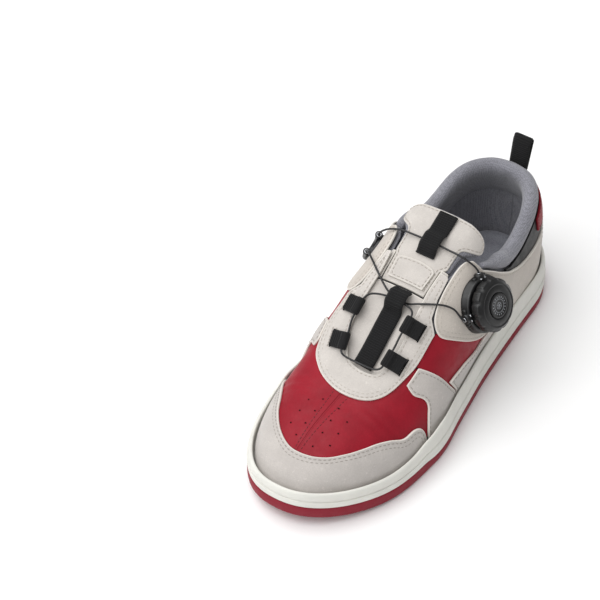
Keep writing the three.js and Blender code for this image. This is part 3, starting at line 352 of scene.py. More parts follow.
def inside(points, loop):
    x, y = points[:, :1], points[:, 1:]
    a, b = loop, np.roll(loop, -1, 0)
    crosses = (a[:, 1] > y) != (b[:, 1] > y)
    with np.errstate(divide="ignore", invalid="ignore"):
        at = a[:, 0] + (y - a[:, 1]) * (b[:, 0] - a[:, 0]) / (b[:, 1] - a[:, 1])
    return (crosses & (x < at)).sum(1) % 2 == 1


def distance(points, loop):
    """Distance from each point to a closed loop."""
    a, run = loop, np.roll(loop, -1, 0) - loop
    best = np.full(len(points), 1e9)
    for k in range(len(a)):
        rel = points - a[k]
        u = np.clip(rel @ run[k] / max(run[k] @ run[k], 1e-9), 0, 1)
        best = np.minimum(best, np.linalg.norm(rel - u[:, None] * run[k], axis=1))
    return best


def offset(loop, inset):
    """Points a distance inside a loop, following it, without those too near another edge."""
    run = np.roll(loop, -1, 0) - np.roll(loop, 1, 0)
    run /= np.linalg.norm(run, axis=1, keepdims=True) + 1e-9
    area = (loop[:, 0] * np.roll(loop[:, 1], -1) - np.roll(loop[:, 0], -1) * loop[:, 1]).sum()
    points = loop + inset * np.sign(area) * np.stack([-run[:, 1], run[:, 0]], 1)
    return points, (distance(points, loop) > inset - 0.12) & inside(points, loop)


RINGS = (0.2, 0.5, 0.9, 1.4, 2.0, 2.7, 3.5)


def fill(loop, step, rings=RINGS, holes=()):
    """Triangles inside a flat loop, finer near its edge."""
    cloud = [loop] + list(holes)
    for inset in rings:
        points, good = offset(loop, inset)
        cloud.append(points[good][:: 1 if inset < 1 else 2])
    low, high = loop.min(0), loop.max(0)
    gx, gy = np.meshgrid(np.arange(low[0], high[0], step), np.arange(low[1], high[1], step * 0.87))
    gx[1::2] += step / 2
    grid = np.stack([gx.ravel(), gy.ravel()], 1)
    grid = grid[inside(grid, loop)]
    grid = grid[distance(grid, loop) > (rings[-1] if rings else 0) + 0.5 * step]
    for hole in holes:
        grid = grid[~inside(grid, hole)]
        grid = grid[distance(grid, hole) > 0.4 * step]
    cloud.append(grid)
    points = np.concatenate(cloud)
    starts = np.cumsum([0, len(loop)] + [len(h) for h in holes])
    edges = []
    for first, last in zip(starts, starts[1:]):
        edges += [(k, first + (k - first + 1) % (last - first)) for k in range(first, last)]
    done = delaunay_2d_cdt([Vector(p) for p in points], edges, [], 0, 1e-5)
    flat = np.array([list(v) for v in done[0]])
    faces = np.array([f for f in done[2] if len(f) == 3])
    middle = flat[faces].mean(1)
    keep = inside(middle, loop)
    for hole in holes:
        keep &= ~inside(middle, hole)
    faces = faces[keep]
    a, b, c = flat[faces[:, 0]], flat[faces[:, 1]], flat[faces[:, 2]]
    turned = (b[:, 0] - a[:, 0]) * (c[:, 1] - a[:, 1]) - (b[:, 1] - a[:, 1]) * (c[:, 0] - a[:, 0]) < 0
    faces[turned] = faces[turned][:, ::-1]
    return flat, faces


def shell(flat, faces, top, bottom):
    """Closes a triangulated sheet into a solid with its underside and edge."""
    n = len(flat)
    directed = {(a, b) for f in faces for a, b in ((f[0], f[1]), (f[1], f[2]), (f[2], f[0]))}
    rim = [(a, b) for a, b in directed if (b, a) not in directed]
    out = [list(f) for f in faces] + [[n + f[2], n + f[1], n + f[0]] for f in faces]
    out += [[b, a, n + a, n + b] for a, b in rim]
    return np.concatenate([top, bottom]), out


def panel(name, outline, low, high, material, nodes=(), channels=(), body="shoe", step=2.8, puff=0.0,
          radius=0.55, ripple=None):
    """A sewn panel with rounded edges, sunk a little along its stitch rows."""
    flat_of, back = chart(outline)
    loop = even(flat_of(np.asarray(outline, float)), 1.3, closed=True)
    flat, faces = fill(loop, step)
    gap = distance(flat, loop)
    r = min(radius, 0.7 * (high - low))
    edge = np.clip(1 - gap / r, 0, 1)
    lift = high - r * (1 - np.sqrt(1 - edge**2)) + puff * smooth(gap, 0, 9)
    for d in channels:
        lift = lift - 0.22 * np.exp(-(((gap - d) / 0.75) ** 2))
    at = back(flat)
    if ripple is not None:
        lift = lift + ripple(at)
    top = surface(at[:, 0], at[:, 1], lift)
    bottom = surface(at[:, 0], at[:, 1], np.full(len(at), low))
    points, all_faces = shell(flat, faces, top, bottom)
    values = {"edge": np.concatenate([np.clip(1.15 - gap / 0.8, 0, 1), np.ones(len(flat))])}
    return make(name, points, all_faces, material, body, nodes, values)


def capsule(a, b, up, radius, sink=0.55):
    """A stitch from a to b: a thread that rises out of the leather and goes back in."""
    run = b - a
    length = np.linalg.norm(run)
    run = run / length
    side = np.cross(up, run)
    side /= np.linalg.norm(side)
    up = np.cross(run, side)
    points, faces = [], []
    for u, high, wide in ((0, -0.7, 0.5), (0.12, 0.25, 0.9), (0.35, 0.55, 1), (0.65, 0.55, 1),
                          (0.88, 0.25, 0.9), (1, -0.7, 0.5)):
        middle = a + run * length * u + up * radius * (high - sink)
        for k in range(6):
            angle = k * math.pi / 3
            points.append(middle + (side * math.cos(angle) + up * math.sin(angle)) * radius * wide)
    return points, tube_faces(6, 6)


def stitch_run(heap, at, out, pitch=3.0, length=2.3, radius=0.27):
    """Stitches along chart points, with gaps in the run left open."""
    line = surface(at[:, 0], at[:, 1], out)
    up = normal(at[:, 0], at[:, 1])
    run = lengths(line)
    for start in np.arange(0.3, run[-1] - length, pitch):
        a, b = (np.array([np.interp(v, run, line[:, k]) for k in range(3)]) for v in (start, start + length))
        n = np.array([np.interp(start + length / 2, run, up[:, k]) for k in range(3)])
        heap.add(*capsule(a, b, n, radius))


def stitch_edge(heap, outline, inset, out, where=None, pitch=3.0, length=2.3, radius=0.27):
    """A stitch row a distance inside a panel's edge, where a test on (s, phi) holds."""
    flat_of, back = chart(outline)
    loop = even(flat_of(np.asarray(outline, float)), 0.8, closed=True)
    points, good = offset(loop, inset)
    at = back(points)
    if where is not None:
        good &= where(at[:, 0], at[:, 1])
    if good.all():
        runs = [np.append(np.arange(len(at)), 0)]
    else:
        first = int(np.argmin(good))
        order = (np.arange(len(at)) + first) % len(at)
        kept = [i for i in order if good[i]]
        runs, run = [], []
        for i in kept:
            if run and np.linalg.norm(points[i] - points[run[-1]]) > 3:
                runs.append(run)
                run = []
            run.append(i)
        runs.append(run)
    for run in runs:
        if len(run) > 4:
            stitch_run(heap, at[run], out, pitch, length, radius)


# ------------------------------------------------------------------ materials
def linear(red, green, blue, scale=1.0):
    """A linear colour from 0 to 255 screen values."""
    c = np.array([red, green, blue]) / 255.0
    c = np.where(c <= 0.04045, c / 12.92, ((c + 0.055) / 1.055) ** 2.4) * scale
    return (float(c[0]), float(c[1]), float(c[2]), 1.0)


class Shade:
    """A procedural material: colours and bumps are built up in object space, in millimetres."""

    def __init__(self, name, slot, roughness, **sockets):
        self.material = bpy.data.materials.new(name)
        self.material.use_nodes = True
        self.material["slot"] = slot
        self.tree = self.material.node_tree
        self.surface = self.tree.nodes["Principled BSDF"]
        self.surface.inputs["Roughness"].default_value = roughness
        for key, value in sockets.items():
            self.surface.inputs[key.replace("_", " ")].default_value = value
        self.place = self.tree.nodes.new("ShaderNodeTexCoord").outputs["Object"]
        self.bump = None

    def link(self, a, b):
        self.tree.links.new(a, b)

    def noise(self, size, detail=3.0, roughness=0.6):
        node = self.tree.nodes.new("ShaderNodeTexNoise")
        node.inputs["Scale"].default_value = 1000 / size
        node.inputs["Detail"].default_value = detail
        node.inputs["Roughness"].default_value = roughness
        self.link(self.place, node.inputs["Vector"])
        return node.outputs["Fac"]

    def cells(self, size, feature="F1", stretch=(1, 1, 1), loose=1.0):
        mapping = self.tree.nodes.new("ShaderNodeMapping")
        mapping.inputs["Scale"].default_value = stretch
        self.link(self.place, mapping.inputs["Vector"])
        node = self.tree.nodes.new("ShaderNodeTexVoronoi")
        node.feature = feature
        node.inputs["Randomness"].default_value = loose
        node.inputs["Scale"].default_value = 1000 / size
        self.link(mapping.outputs["Vector"], node.inputs["Vector"])
        return node.outputs["Distance"]

    def attribute(self, name):
        node = self.tree.nodes.new("ShaderNodeAttribute")
        node.attribute_name = name
        return node.outputs["Fac"]

    def ramp(self, value, low, high, to_low=0.0, to_high=1.0):
        node = self.tree.nodes.new("ShaderNodeMapRange")
        node.interpolation_type = "SMOOTHSTEP"
        for key, number in zip(("From Min", "From Max", "To Min", "To Max"), (low, high, to_low, to_high)):
            node.inputs[key].default_value = number
        self.link(value, node.inputs["Value"])
        return node.outputs["Result"]

    def math(self, kind, a, b=0.0):
        node = self.tree.nodes.new("ShaderNodeMath")
        node.operation = kind
        for socket, value in zip(node.inputs, (a, b)):
            if isinstance(value, (int, float)):
                socket.default_value = value
            else:
                self.link(value, socket)
        return node.outputs["Value"]

    def mix(self, share, a, b):
        node = self.tree.nodes.new("ShaderNodeMix")
        node.data_type = "RGBA"
        self.link(share, node.inputs["Factor"])
        for socket, value in zip((node.inputs[6], node.inputs[7]), (a, b)):
            if isinstance(value, tuple):
                socket.default_value = value
            else:
                self.link(value, socket)
        return node.outputs[2]

    def raised(self, height, distance_mm, strength=1.0):
        node = self.tree.nodes.new("ShaderNodeBump")
        node.inputs["Distance"].default_value = distance_mm * MM
        node.inputs["Strength"].default_value = strength
        self.link(height, node.inputs["Height"])
        if self.bump:
            self.link(self.bump, node.inputs["Normal"])
        self.bump = node.outputs["Normal"]

    def done(self, colour, roughness=None):
        self.link(colour, self.surface.inputs["Base Color"])
        if roughness is not None:
            self.link(roughness, self.surface.inputs["Roughness"])
        if self.bump:
            self.link(self.bump, self.surface.inputs["Normal"])
        return self.material


def times(colour, share):
    return tuple(min(1.0, c * share) for c in colour[:3]) + (1.0,)


def suede(name, slot, colour, cut_edge):
    m = Shade(name, slot, 0.93, Sheen_Weight=0.22, Sheen_Roughness=0.55, Specular_IOR_Level=0.25)
    brushed = m.ramp(m.noise(11, 5, 0.62), 0.3, 0.7)
    nap = m.ramp(m.noise(0.75, 3, 0.75), 0.34, 0.66)
    tone = m.mix(brushed, times(colour, 0.91), times(colour, 1.05))
    tone = m.mix(m.math("MULTIPLY", nap, 0.55), m.mix(brushed, times(colour, 0.80), times(colour, 0.86)),
                 tone)
    tone = m.mix(m.ramp(m.noise(1.9, 2), 0.64, 0.72, 0.0, 0.35), tone, times(colour, 1.22))
    m.raised(m.noise(0.9, 4, 0.8), 0.16, 0.55)
    m.raised(m.noise(5, 3, 0.6), 0.35, 0.3)
    return m.done(m.mix(m.attribute("edge"), tone, cut_edge))


def leather(name, slot, colour, roughness=0.5, grain=1.5, edge=0.62):
    m = Shade(name, slot, roughness, Specular_IOR_Level=0.22)
    cloud = m.ramp(m.noise(16, 4, 0.6), 0.3, 0.7)
    fine = m.cells(grain, "F1")
    tone = m.mix(cloud, times(colour, 0.9), times(colour, 1.08))
    tone = m.mix(m.ramp(fine, 0.0, 0.85, 0.0, 0.16), tone, times(colour, 0.6))
    m.raised(fine, 0.07, 0.45)
    m.raised(m.noise(4, 4, 0.7), 0.25, 0.28)
    rough = m.ramp(m.noise(6, 3), 0.3, 0.7, roughness - 0.06, roughness + 0.09)
    return m.done(m.mix(m.attribute("edge"), tone, times(colour, edge)), rough)


def spacer_mesh(name, slot, colour, cell=1.15):
    m = Shade(name, slot, 0.9, Sheen_Weight=0.3, Sheen_Roughness=0.6, Specular_IOR_Level=0.2)
    knit = m.cells(cell, "F1", loose=0.35)
    soft = m.ramp(m.noise(14, 3), 0.3, 0.7)
    tone = m.mix(soft, times(colour, 0.9), times(colour, 1.08))
    tone = m.mix(m.ramp(knit, 0.25, 0.75, 0.0, 0.62), tone, times(colour, 0.42))
    tone = m.mix(m.ramp(m.noise(0.5, 2), 0.5, 0.75, 0.0, 0.3), tone, times(colour, 1.45))
    m.raised(m.math("SUBTRACT", 1.0, knit), 0.42, 0.75)
    return m.done(tone)


def webbing(name, slot, colour):
    m = Shade(name, slot, 0.78, Sheen_Weight=0.06, Sheen_Roughness=0.5, Specular_IOR_Level=0.3)
    rib = m.math("SINE", m.math("MULTIPLY", m.attribute("along"), 2 * math.pi / 1.5))
    warp = m.math("SINE", m.math("MULTIPLY", m.attribute("across"), 2 * math.pi / 0.62))
    weave = m.math("MULTIPLY", m.ramp(rib, -1, 1), m.ramp(warp, -1, 1, 0.55, 1.0))
    fuzz = m.ramp(m.noise(0.45, 2), 0.35, 0.7)
    tone = m.mix(weave, times(colour, 0.45), times(colour, 1.9))
    tone = m.mix(m.math("MULTIPLY", fuzz, 0.35), tone, times(colour, 2.4))
    m.raised(warp, 0.10, 0.8)
    m.raised(m.noise(0.5, 3), 0.08, 0.5)
    return m.done(tone)


def rubber(name, slot, colour, roughness, dirt=0.12):
    m = Shade(name, slot, roughness, Specular_IOR_Level=0.25)
    cloud = m.ramp(m.noise(22, 4), 0.3, 0.7)
    tone = m.mix(cloud, times(colour, 0.95), times(colour, 1.03))
    tone = m.mix(m.ramp(m.noise(2.2, 4, 0.75), 0.55, 0.78, 0.0, dirt), tone, times(colour, 0.72))
    m.raised(m.noise(0.7, 3), 0.05, 0.5)
    m.raised(m.noise(7, 2), 0.2, 0.2)
    rough = m.ramp(m.noise(9, 3), 0.3, 0.7, roughness - 0.07, roughness + 0.08)
    return m.done(tone, rough)


def plastic(name, slot, colour, roughness):
    m = Shade(name, slot, roughness, Specular_IOR_Level=0.5)
    tone = m.mix(m.ramp(m.noise(8, 3), 0.35, 0.7), colour, times(colour, 1.6))
    tone = m.mix(m.ramp(m.noise(0.8, 2, 0.8), 0.66, 0.74, 0.0, 0.5), tone, times(colour, 4.0))
    m.raised(m.noise(0.45, 3, 0.7), 0.03, 0.5)
    rough = m.ramp(m.noise(5, 4), 0.3, 0.7, roughness - 0.08, roughness + 0.1)
    return m.done(tone, rough)


def metal(name, slot, colour, roughness):
    m = Shade(name, slot, roughness, Metallic=1.0)
    tone = m.mix(m.noise(1.2, 3), times(colour, 0.8), colour)
    m.raised(m.noise(0.4, 3), 0.02, 0.6)
    return m.done(tone)


def thread(name, slot, colour):
    m = Shade(name, slot, 0.65, Sheen_Weight=0.2, Specular_IOR_Level=0.4)
    tone = m.mix(m.ramp(m.noise(0.5, 2), 0.3, 0.7), times(colour, 0.7), colour)
    m.raised(m.cells(0.35, "F1", (1, 1, 1)), 0.05, 0.6)
    return m.done(tone)


def fibre(name, slot, colour, size):
    m = Shade(name, slot, 0.92, Specular_IOR_Level=0.2)
    tone = m.mix(m.ramp(m.noise(size, 4, 0.7), 0.3, 0.7), times(colour, 0.75), times(colour, 1.1))
    m.raised(m.noise(size * 0.5, 3), 0.1, 0.6)
    return m.done(tone)


PALE_EDGE = linear(222, 217, 209)
grey_suede = suede("grey_suede", "grey_suede", linear(197, 191, 186), PALE_EDGE)
pale_suede = suede("pale_suede", "pale_suede", linear(208, 202, 196), PALE_EDGE)
beige_suede = suede("beige_suede", "pale_suede", linear(203, 195, 186), PALE_EDGE)
crimson = leather("crimson_leather", "crimson_leather", linear(146, 20, 37))
charcoal = leather("charcoal_leather", "charcoal_leather", linear(34, 33, 33), 0.42, 1.2)
knit = spacer_mesh("grey_mesh", "grey_mesh", linear(138, 138, 146))
sock_knit = spacer_mesh("sock_mesh", "grey_mesh", linear(150, 151, 160), 0.95)
black_webbing = webbing("black_webbing", "black_webbing", linear(15, 15, 16))
white_rubber = rubber("white_rubber", "white_rubber", linear(222, 221, 214), 0.5, 0.06)
red_rubber = rubber("crimson_rubber", "crimson_rubber", linear(134, 28, 44), 0.55)
black_plastic = plastic("black_plastic", "black_plastic", linear(14, 14, 15), 0.34)
steel = metal("steel", "steel", linear(200, 202, 206), 0.24)
# pale_thread is set darker than the pale suede it sews: partly the thread's own tone, partly painted shade of
# the stitch holes
pale_thread = thread("pale_thread", "pale_suede", linear(190, 183, 173))
grey_thread = thread("grey_thread", "grey_suede", linear(158, 151, 143))
red_thread = thread("red_thread", "crimson_leather", linear(118, 12, 28))
hole_dark = fibre("hole_shadow", "crimson_leather", linear(38, 8, 12), 1.0)
print_grey = fibre("emblem_paint", "black_plastic", linear(150, 152, 156), 0.8)
foam = fibre("foam", "foam", linear(96, 96, 104), 1.4)
board = fibre("fibreboard", "fibreboard", linear(176, 158, 128), 2.0)
stiff = fibre("stiffener", "stiffener", linear(216, 210, 196), 2.5)
microfibre = fibre("microfibre", "microfibre", linear(228, 224, 214), 0.9)
wire = plastic("lace_wire", "lace_wire", linear(24, 24, 26), 0.38)

CAD_LOOKS = {
    "slide_pad": microfibre, "shank": steel, "insole_board": board, "toe_puff": stiff, "heel_counter": stiff,
    "lace_spool": black_plastic, "dial_drive": black_plastic, "dial_screw": steel,
    "dial_backplate": black_plastic, "tongue_foam": foam,
}
for node, look in CAD_LOOKS.items():
    cad = frame["nodes"][node]
    if not cad.material_slots:
        cad.data.materials.append(look)
    for used in cad.material_slots:
        used.material = look


# ------------------------------------------------------------------ sole unit
def sole_loop(inset, height, steps=110):
    t = inset + (LENGTH / 2 - inset) * (1 - np.cos(np.arange(steps + 1) * math.pi / steps))
    rim = []
    for side, sign in ((0, 1), (1, -1)):
        reach = (half[side](t) - inset) * round_ends(t, inset, LENGTH - inset)
        rim.append(np.stack([centre(t) + sign * reach, t - LENGTH / 2, height(t)], 1))
    return np.concatenate([rim[0], rim[1][-2:0:-1]])


def span_loop(start, count, turn=1):
    """Faces across a loop of points that runs round the sole from the toe."""
    faces = []
    for i in range(1, count // 2):
        faces.append([start + i, start + i + 1, start + count - i - 1, start + (count - i) % count][::turn])
    return faces + [[start, start + 1, start + count - 1][::turn]]


def outsole_top(t):
    return toe_spring(t) + outsole_edge(t)


PAD_STATION, PAD_HALF, PAD_RECESS, PAD_POINTS = 99, (32.3, 23.3), 1.7, 64      # seat of the slide pad


def build_outsole():
    rows = [sole_loop(1.5, toe_spring), sole_loop(0.5, lambda t: toe_spring(t) + 0.35),
            sole_loop(0.08, lambda t: toe_spring(t) + 1.2), sole_loop(0, lambda t: toe_spring(t) + 2.0),
            sole_loop(0, lambda t: outsole_top(t) - 0.5), sole_loop(0.35, outsole_top)]
    count = len(rows[0])
    points = np.concatenate(rows)
    faces = grid_faces(len(rows), count)
    faces += span_loop((len(rows) - 1) * count, count)
    pad = around(1.0, PAD_POINTS) * PAD_HALF + [0, PAD_STATION - LENGTH / 2]
    flat, tiles = fill(rows[0][:, :2], 6.0, rings=(), holes=[pad])
    first = len(points)
    under = np.column_stack([flat, toe_spring(flat[:, 1] + LENGTH / 2)])
    points = np.concatenate([points, under])
    faces += [[first + f[2], first + f[1], first + f[0]] for f in tiles]
    first = len(points)
    n = PAD_POINTS
    points = np.concatenate([points] + [np.column_stack([pad, np.full(n, z)]) for z in (0.0, PAD_RECESS)])
    faces += [[first + k, first + (k + 1) % n, first + n + (k + 1) % n, first + n + k] for k in range(n)]
    faces.append([first + n + k for k in range(n)][::-1])
    make("outsole_tread", points, faces, red_rubber, "shoe", ["outsole"], hard=50)


def build_midsole():
    base = lambda t: outsole_top(t) + FIT
    top = lambda t: footbed(t) + rim_rise(t)
    at = lambda share: (lambda t: base(t) + share * (top(t) - base(t)))
    profile = [(2.2, 0.0), (0.5, 0.0), (0.1, 0.025), (-0.05, 0.08), (-0.1, 0.2), (-0.1, 0.32), (0.05, 0.4),
               (0.35, 0.425), (1.0, 0.437), (1.05, 0.452), (0.55, 0.468), (0.4, 0.5), (0.45, 0.6),
               (0.6, 0.72), (0.85, 0.83), (1.2, 0.915), (1.6, 0.965), (2.1, 0.992), (2.6, 1.0),
               (3.0, 0.988), (3.25, 0.95), (3.35, 0.85), (3.45, 0.6)]
    rows = [sole_loop(inset, at(share)) for inset, share in profile]
    rows.append(sole_loop(3.6, lambda t: footbed(t) + 0.2))
    count = len(rows[0])
    faces = grid_faces(len(rows), count)
    faces += span_loop(0, count, -1) + span_loop((len(rows) - 1) * count, count)
    make("midsole_wall", np.concatenate(rows), faces, white_rubber, "shoe", ["midsole_cup"])


def build_sockliner():
    low = 3 * FIT + 1.8
    rows = []
    for inset, rise in ((12.4, 0.0), (10.9, 0.3), (10.5, 1.2), (10.6, 2.6), (11.0, 3.5), (11.9, 4.0),
                        (14.5, 3.9), (18.5, 3.6), (24.0, 3.4)):
        rows.append(sole_loop(inset, lambda t, r=rise: footbed(t) + low + r, 70))
    count = len(rows[0])
    faces = grid_faces(len(rows), count)
    faces += span_loop(0, count, -1) + span_loop((len(rows) - 1) * count, count)
    make("sockliner_foam", np.concatenate(rows), faces, sock_knit, "shoe", ["sockliner"])


# ------------------------------------------------------------------ upper
def run(*points):
    return spline(points, 6).tolist()


def flip(outline):
    return [(s, 180 - phi) for s, phi in outline]


def over_heel(outline):
    return [(2 * BACK - s, phi) for s, phi in outline]


UNDER, OVER = (0.0, 1.2), (1.5, 2.9)
pale_rows, grey_rows, red_rows, tongue_rows = Heap(), Heap(), Heap(), Heap()

cap_edge = run((87, 0), (87, 22), (82, 29.5), (72, 31), (64, 38.5), (56, 44), (47, 48), (38, 53.5), (30, 63),
               (25.5, 79), (25.5, 98), (32, 116), (43, 129), (55, 137), (66, 147), (76, 160), (84, 180))
eyestay_outer = run((124, 60.5), (106, 61), (95, 64), (81, 68), (72, 76), (68.5, 88), (71, 99), (79, 112),
                    (91, 123.5), (106, 125), (124, 121.5))
throat_edge = run((153, 103), (138, 101), (123, 101.5), (108, 101), (97, 99), (89.5, 95.5), (87, 88),
                  (90, 80.5), (102, 78), (123, 79), (138, 80.5), (153, 80))
saddle_front = run((94, 60), (93, 51), (96.5, 42), (97, 35), (93.5, 27), (90, 16), (89, 0))
saddle_rear = run((128, 0), (124.5, 14), (118, 26), (111, 43), (106, 56), (105, 59))
flap_front = run((200, 0), (193.5, 7), (180, 11), (167, 15.5), (153, 23.5), (142, 33), (132, 45), (126, 55.5),
                 (127.5, 64), (134, 69.5), (146, 72), (158, 71.5), (167, 68.5), (172, 63))


def build_front():
    lining = ([(TIP + 0.1, 0.5), (151.6, 0.5), (151.6, 78), (136, 79), (134.2, 70), (118, 68), (100, 66)]
              + run((84, 68), (79, 90), (84, 112)) + [(100, 114), (118, 112), (134.2, 110), (136, 103.5)]
              + [(151.6, 105), (151.6, 179.5), (TIP + 0.1, 179.5)])
    panel("vamp_lining_knit", lining, -2.8, -1.6, knit, ["vamp_lining"], step=4)
    vamp = ([(19, 89.8)] + run((20, 70), (28, 48), (44, 34), (62, 22), (72, 12))
            + [(104, 12), (104, 61), (92, 67)] + run((80, 76), (78, 89.8)))

    def crease(at):
        beside_seam = smooth(abs(at[:, 1] - 90), 2, 30)
        return 0.30 * np.exp(-(((at[:, 0] - 66) / 9) ** 2)) * np.sin(at[:, 0] * 0.9) * beside_seam

    panel("vamp_lateral_leather", vamp, *UNDER, crimson, ["vamp_lateral"], step=2.2, puff=0.15, ripple=crease)
    panel("vamp_medial_leather", flip(vamp), *UNDER, crimson, ["vamp_medial"], step=2.2, puff=0.15,
          ripple=crease)
    s = np.linspace(20, 78, 60)
    fold = surface(s, np.full(60, 90.0), 0.62)
    points, faces = sweep(fold, around(1.0, 12) * [1.3, 0.42], [normal(t, 90) for t in s])
    make("vamp_seam_fold", points, faces, crimson, "shoe")
    for phi in (85.6, 94.4):
        s = np.linspace(24, 68, 60)
        row = np.column_stack([s, 90 + (phi - 90) * (0.62 + 0.38 * (s - 24) / 44)])
        stitch_run(red_rows, row, UNDER[1] + 0.12, 2.6, 2.0, 0.26)
    cap = [(TIP + 0.05, 0.2)] + cap_edge + [(TIP + 0.05, 179.8)]
    panel("toe_cap_suede", cap, *OVER, grey_suede, ["toe_cap"], channels=(2.0, 4.3), puff=0.1)
    above = lambda s, phi: (phi > 9) & (phi < 171) & (s > 20)
    for inset in (2.0, 4.3):
        stitch_edge(grey_rows, cap, inset, OVER[1] - 0.1, above)
    eyestay = (eyestay_outer + [(129, 110.6), (139, 108.2), (153, 106.9)] + throat_edge
               + [(153, 73.6), (139, 72.5), (129, 69)])
    panel("eyestay_suede", eyestay, *OVER, pale_suede, ["eyestay"], channels=(1.9,), puff=0.12)
    stitch_edge(pale_rows, eyestay, 1.9, OVER[1] - 0.1, lambda s, phi: s < 150)
    second_row = lambda s, phi: (s < 82) | ((s < 124) & ((phi < 69) | (phi > 115)))
    stitch_edge(pale_rows, eyestay, 4.2, OVER[1] - 0.05, second_row)


def build_sides():
    saddle = saddle_front + saddle_rear
    medial = ([(96.5, 53)] + [p for p in saddle_front if p[1] < 50]
              + [p for p in saddle_rear if p[1] < 52] + [(107, 53.4)])
    visible = lambda s, phi: (phi > 12) & (phi < 168)
    for name, outline in (("saddle_lateral", saddle), ("saddle_medial", flip(medial))):
        panel(name + "_suede", outline, *OVER, grey_suede, [name], channels=(1.8,))
        stitch_edge(grey_rows, outline, 1.8, OVER[1] - 0.1, visible)
    quarter = ([(104.5, 4), (104.5, 61), (118, 63.5), (128, 58)]
               + run((136, 44), (147, 32), (160, 24), (180, 19), (196, 14)) + [(197, 4)])
    for name, outline in (("quarter_lateral", quarter), ("quarter_medial", flip(quarter))):
        panel(name + "_leather", outline, *UNDER, crimson, [name])
    wing = [(129, 0.1), (125.8, 14), (119.6, 25.6)] + run((138, 21.5), (165, 13), (190, 6.4)) + [(197, 0.1)]
    short = ([(129, 0.1), (125.8, 14), (119.6, 25.6)]
             + run((138, 21.5), (155, 16), (166, 11), (171, 6), (172, 0.1)))
    for name, outline in (("wing_lateral", wing), ("wing_medial", flip(short))):
        panel(name + "_suede", outline, *OVER, grey_suede, [name], channels=(1.7,))
        stitch_edge(grey_rows, outline, 1.7, OVER[1] - 0.1, visible)


def heel_phi(t, z):
    return phi_at(min(t, 275.5), z)


def build_rear():
    flap_top = run(*[(t, rim_phi(t, drop)) for t, drop in ((175, 1), (182, 1), (190, 1), (200, 2))],
                   *[(t, heel_phi(t, z)) for t, z in ((208, 65), (218, 60), (232, 57), (256, 57))])
    flap_rear = run((256.5, heel_phi(256, 57)), (252, heel_phi(252, 44)), (247, 0.1))
    flap = flap_front + flap_top + flap_rear
    for name, outline in (("flap_lateral", flap), ("flap_medial", flip(flap))):
        panel(name + "_suede", outline, *OVER, beige_suede, [name], channels=(1.8,), puff=0.15)
        shown = lambda s, phi: (phi > 14) & (phi < 166) & (s < 250)
        stitch_edge(pale_rows, outline, 1.8, OVER[1] - 0.1, shown)
        stitch_edge(pale_rows, outline, 4.0, OVER[1], lambda s, phi: (phi > 18) & (phi < 162) & (s < 160))
    collar_stations = (199, 206, 214, 222, 230, 238, 246, 254, 262, 270)
    collar = ([(t, rim_phi(t, 0.4)) for t in collar_stations]
              + [(BACK - 0.02, heel_phi(BACK, 84)), (BACK - 0.02, heel_phi(BACK, 48))]
              + [(t, heel_phi(t, 47)) for t in (262, 246, 230, 214)] + [(199, heel_phi(199, 50))])
    for name, outline in (("collar_panel_lateral", collar), ("collar_panel_medial", flip(collar))):
        panel(name + "_leather", outline, *UNDER, charcoal, [name], puff=0.3)
    cover_side = [(247.5, 0.1), (252.5, heel_phi(253, 44)), (256.9, heel_phi(257, 57)),
                  (266, heel_phi(266, 57))]
    cover = cover_side + [(BACK, heel_phi(BACK, 57))] + over_heel(cover_side[::-1])
    panel("heel_cover_suede", cover, *OVER, grey_suede, ["heel_cover"], channels=(1.8,))
    stitch_edge(grey_rows, cover, 1.8, OVER[1] - 0.1, lambda s, phi: (phi > 10) & (s > 200))
    tab_side = [(268, heel_phi(268, 62)), (258, heel_phi(258, 63)), (246, heel_phi(246, 66))] \
        + [(t, rim_phi(t, 0.4)) for t in (246, 256, 265, 271)]
    tab = tab_side + over_heel(tab_side[::-1])
    panel("heel_tab_leather", tab, *OVER, crimson, ["heel_tab"], channels=(1.7,), puff=0.15)
    stitch_edge(red_rows, tab, 1.7, OVER[1] - 0.1)
    lining = ([(151.7, 0.5), (151.7, 75), (157, 71.5), (166, 69), (171, 63)]
              + [(t, rim_phi(t, 0.6)) for t in (*range(180, 261, 10), 268, 273)]
              + [(BACK - 0.02, rim_phi(BACK, 0.6)), (BACK - 0.02, 0.5)])
    for name, outline in (("quarter_lining_lateral", lining), ("quarter_lining_medial", flip(lining))):
        panel(name + "_knit", outline, -2.8, -1.6, knit, [name], step=4)


PERFORATIONS = [(56, 105.5), (60, 96.5), (47, 107), (50.5, 96), (38, 109), (41, 96.5), (32.5, 98),
                (59, 85), (49.5, 83.5), (54, 74.5), (40.5, 82), (45, 72.5), (31, 80.5), (36.5, 69.5)]


def build_perforations():
    """Punched holes each side of the vamp's centre seam: a sunk dark dot with a soft raised rim."""
    heap, rims = Heap(), Heap()
    for s, phi in PERFORATIONS:
        middle, up = surface(s, phi, UNDER[1] + 0.1), normal(s, phi)
        across = np.cross(up, [0, 1, 0])
        across /= np.linalg.norm(across)
        other = np.cross(up, across)
        ring = around(1.0, 12) @ np.array([across, other])
        disc = middle + ring * 0.55 + up * 0.07
        heap.add(np.vstack([disc, disc - up * 0.3]), [list(range(12))] + grid_faces(2, 12)
                 + [list(range(12, 24))[::-1]])
        path = middle + ring * 0.68 + up * 0.02
        rims.add(*sweep(path, around(0.16, 6), closed=True))
    make("vamp_perforations", heap.points, heap.faces, hole_dark, "shoe")
    make("vamp_perforation_rims", rims.points, rims.faces, crimson, "shoe")



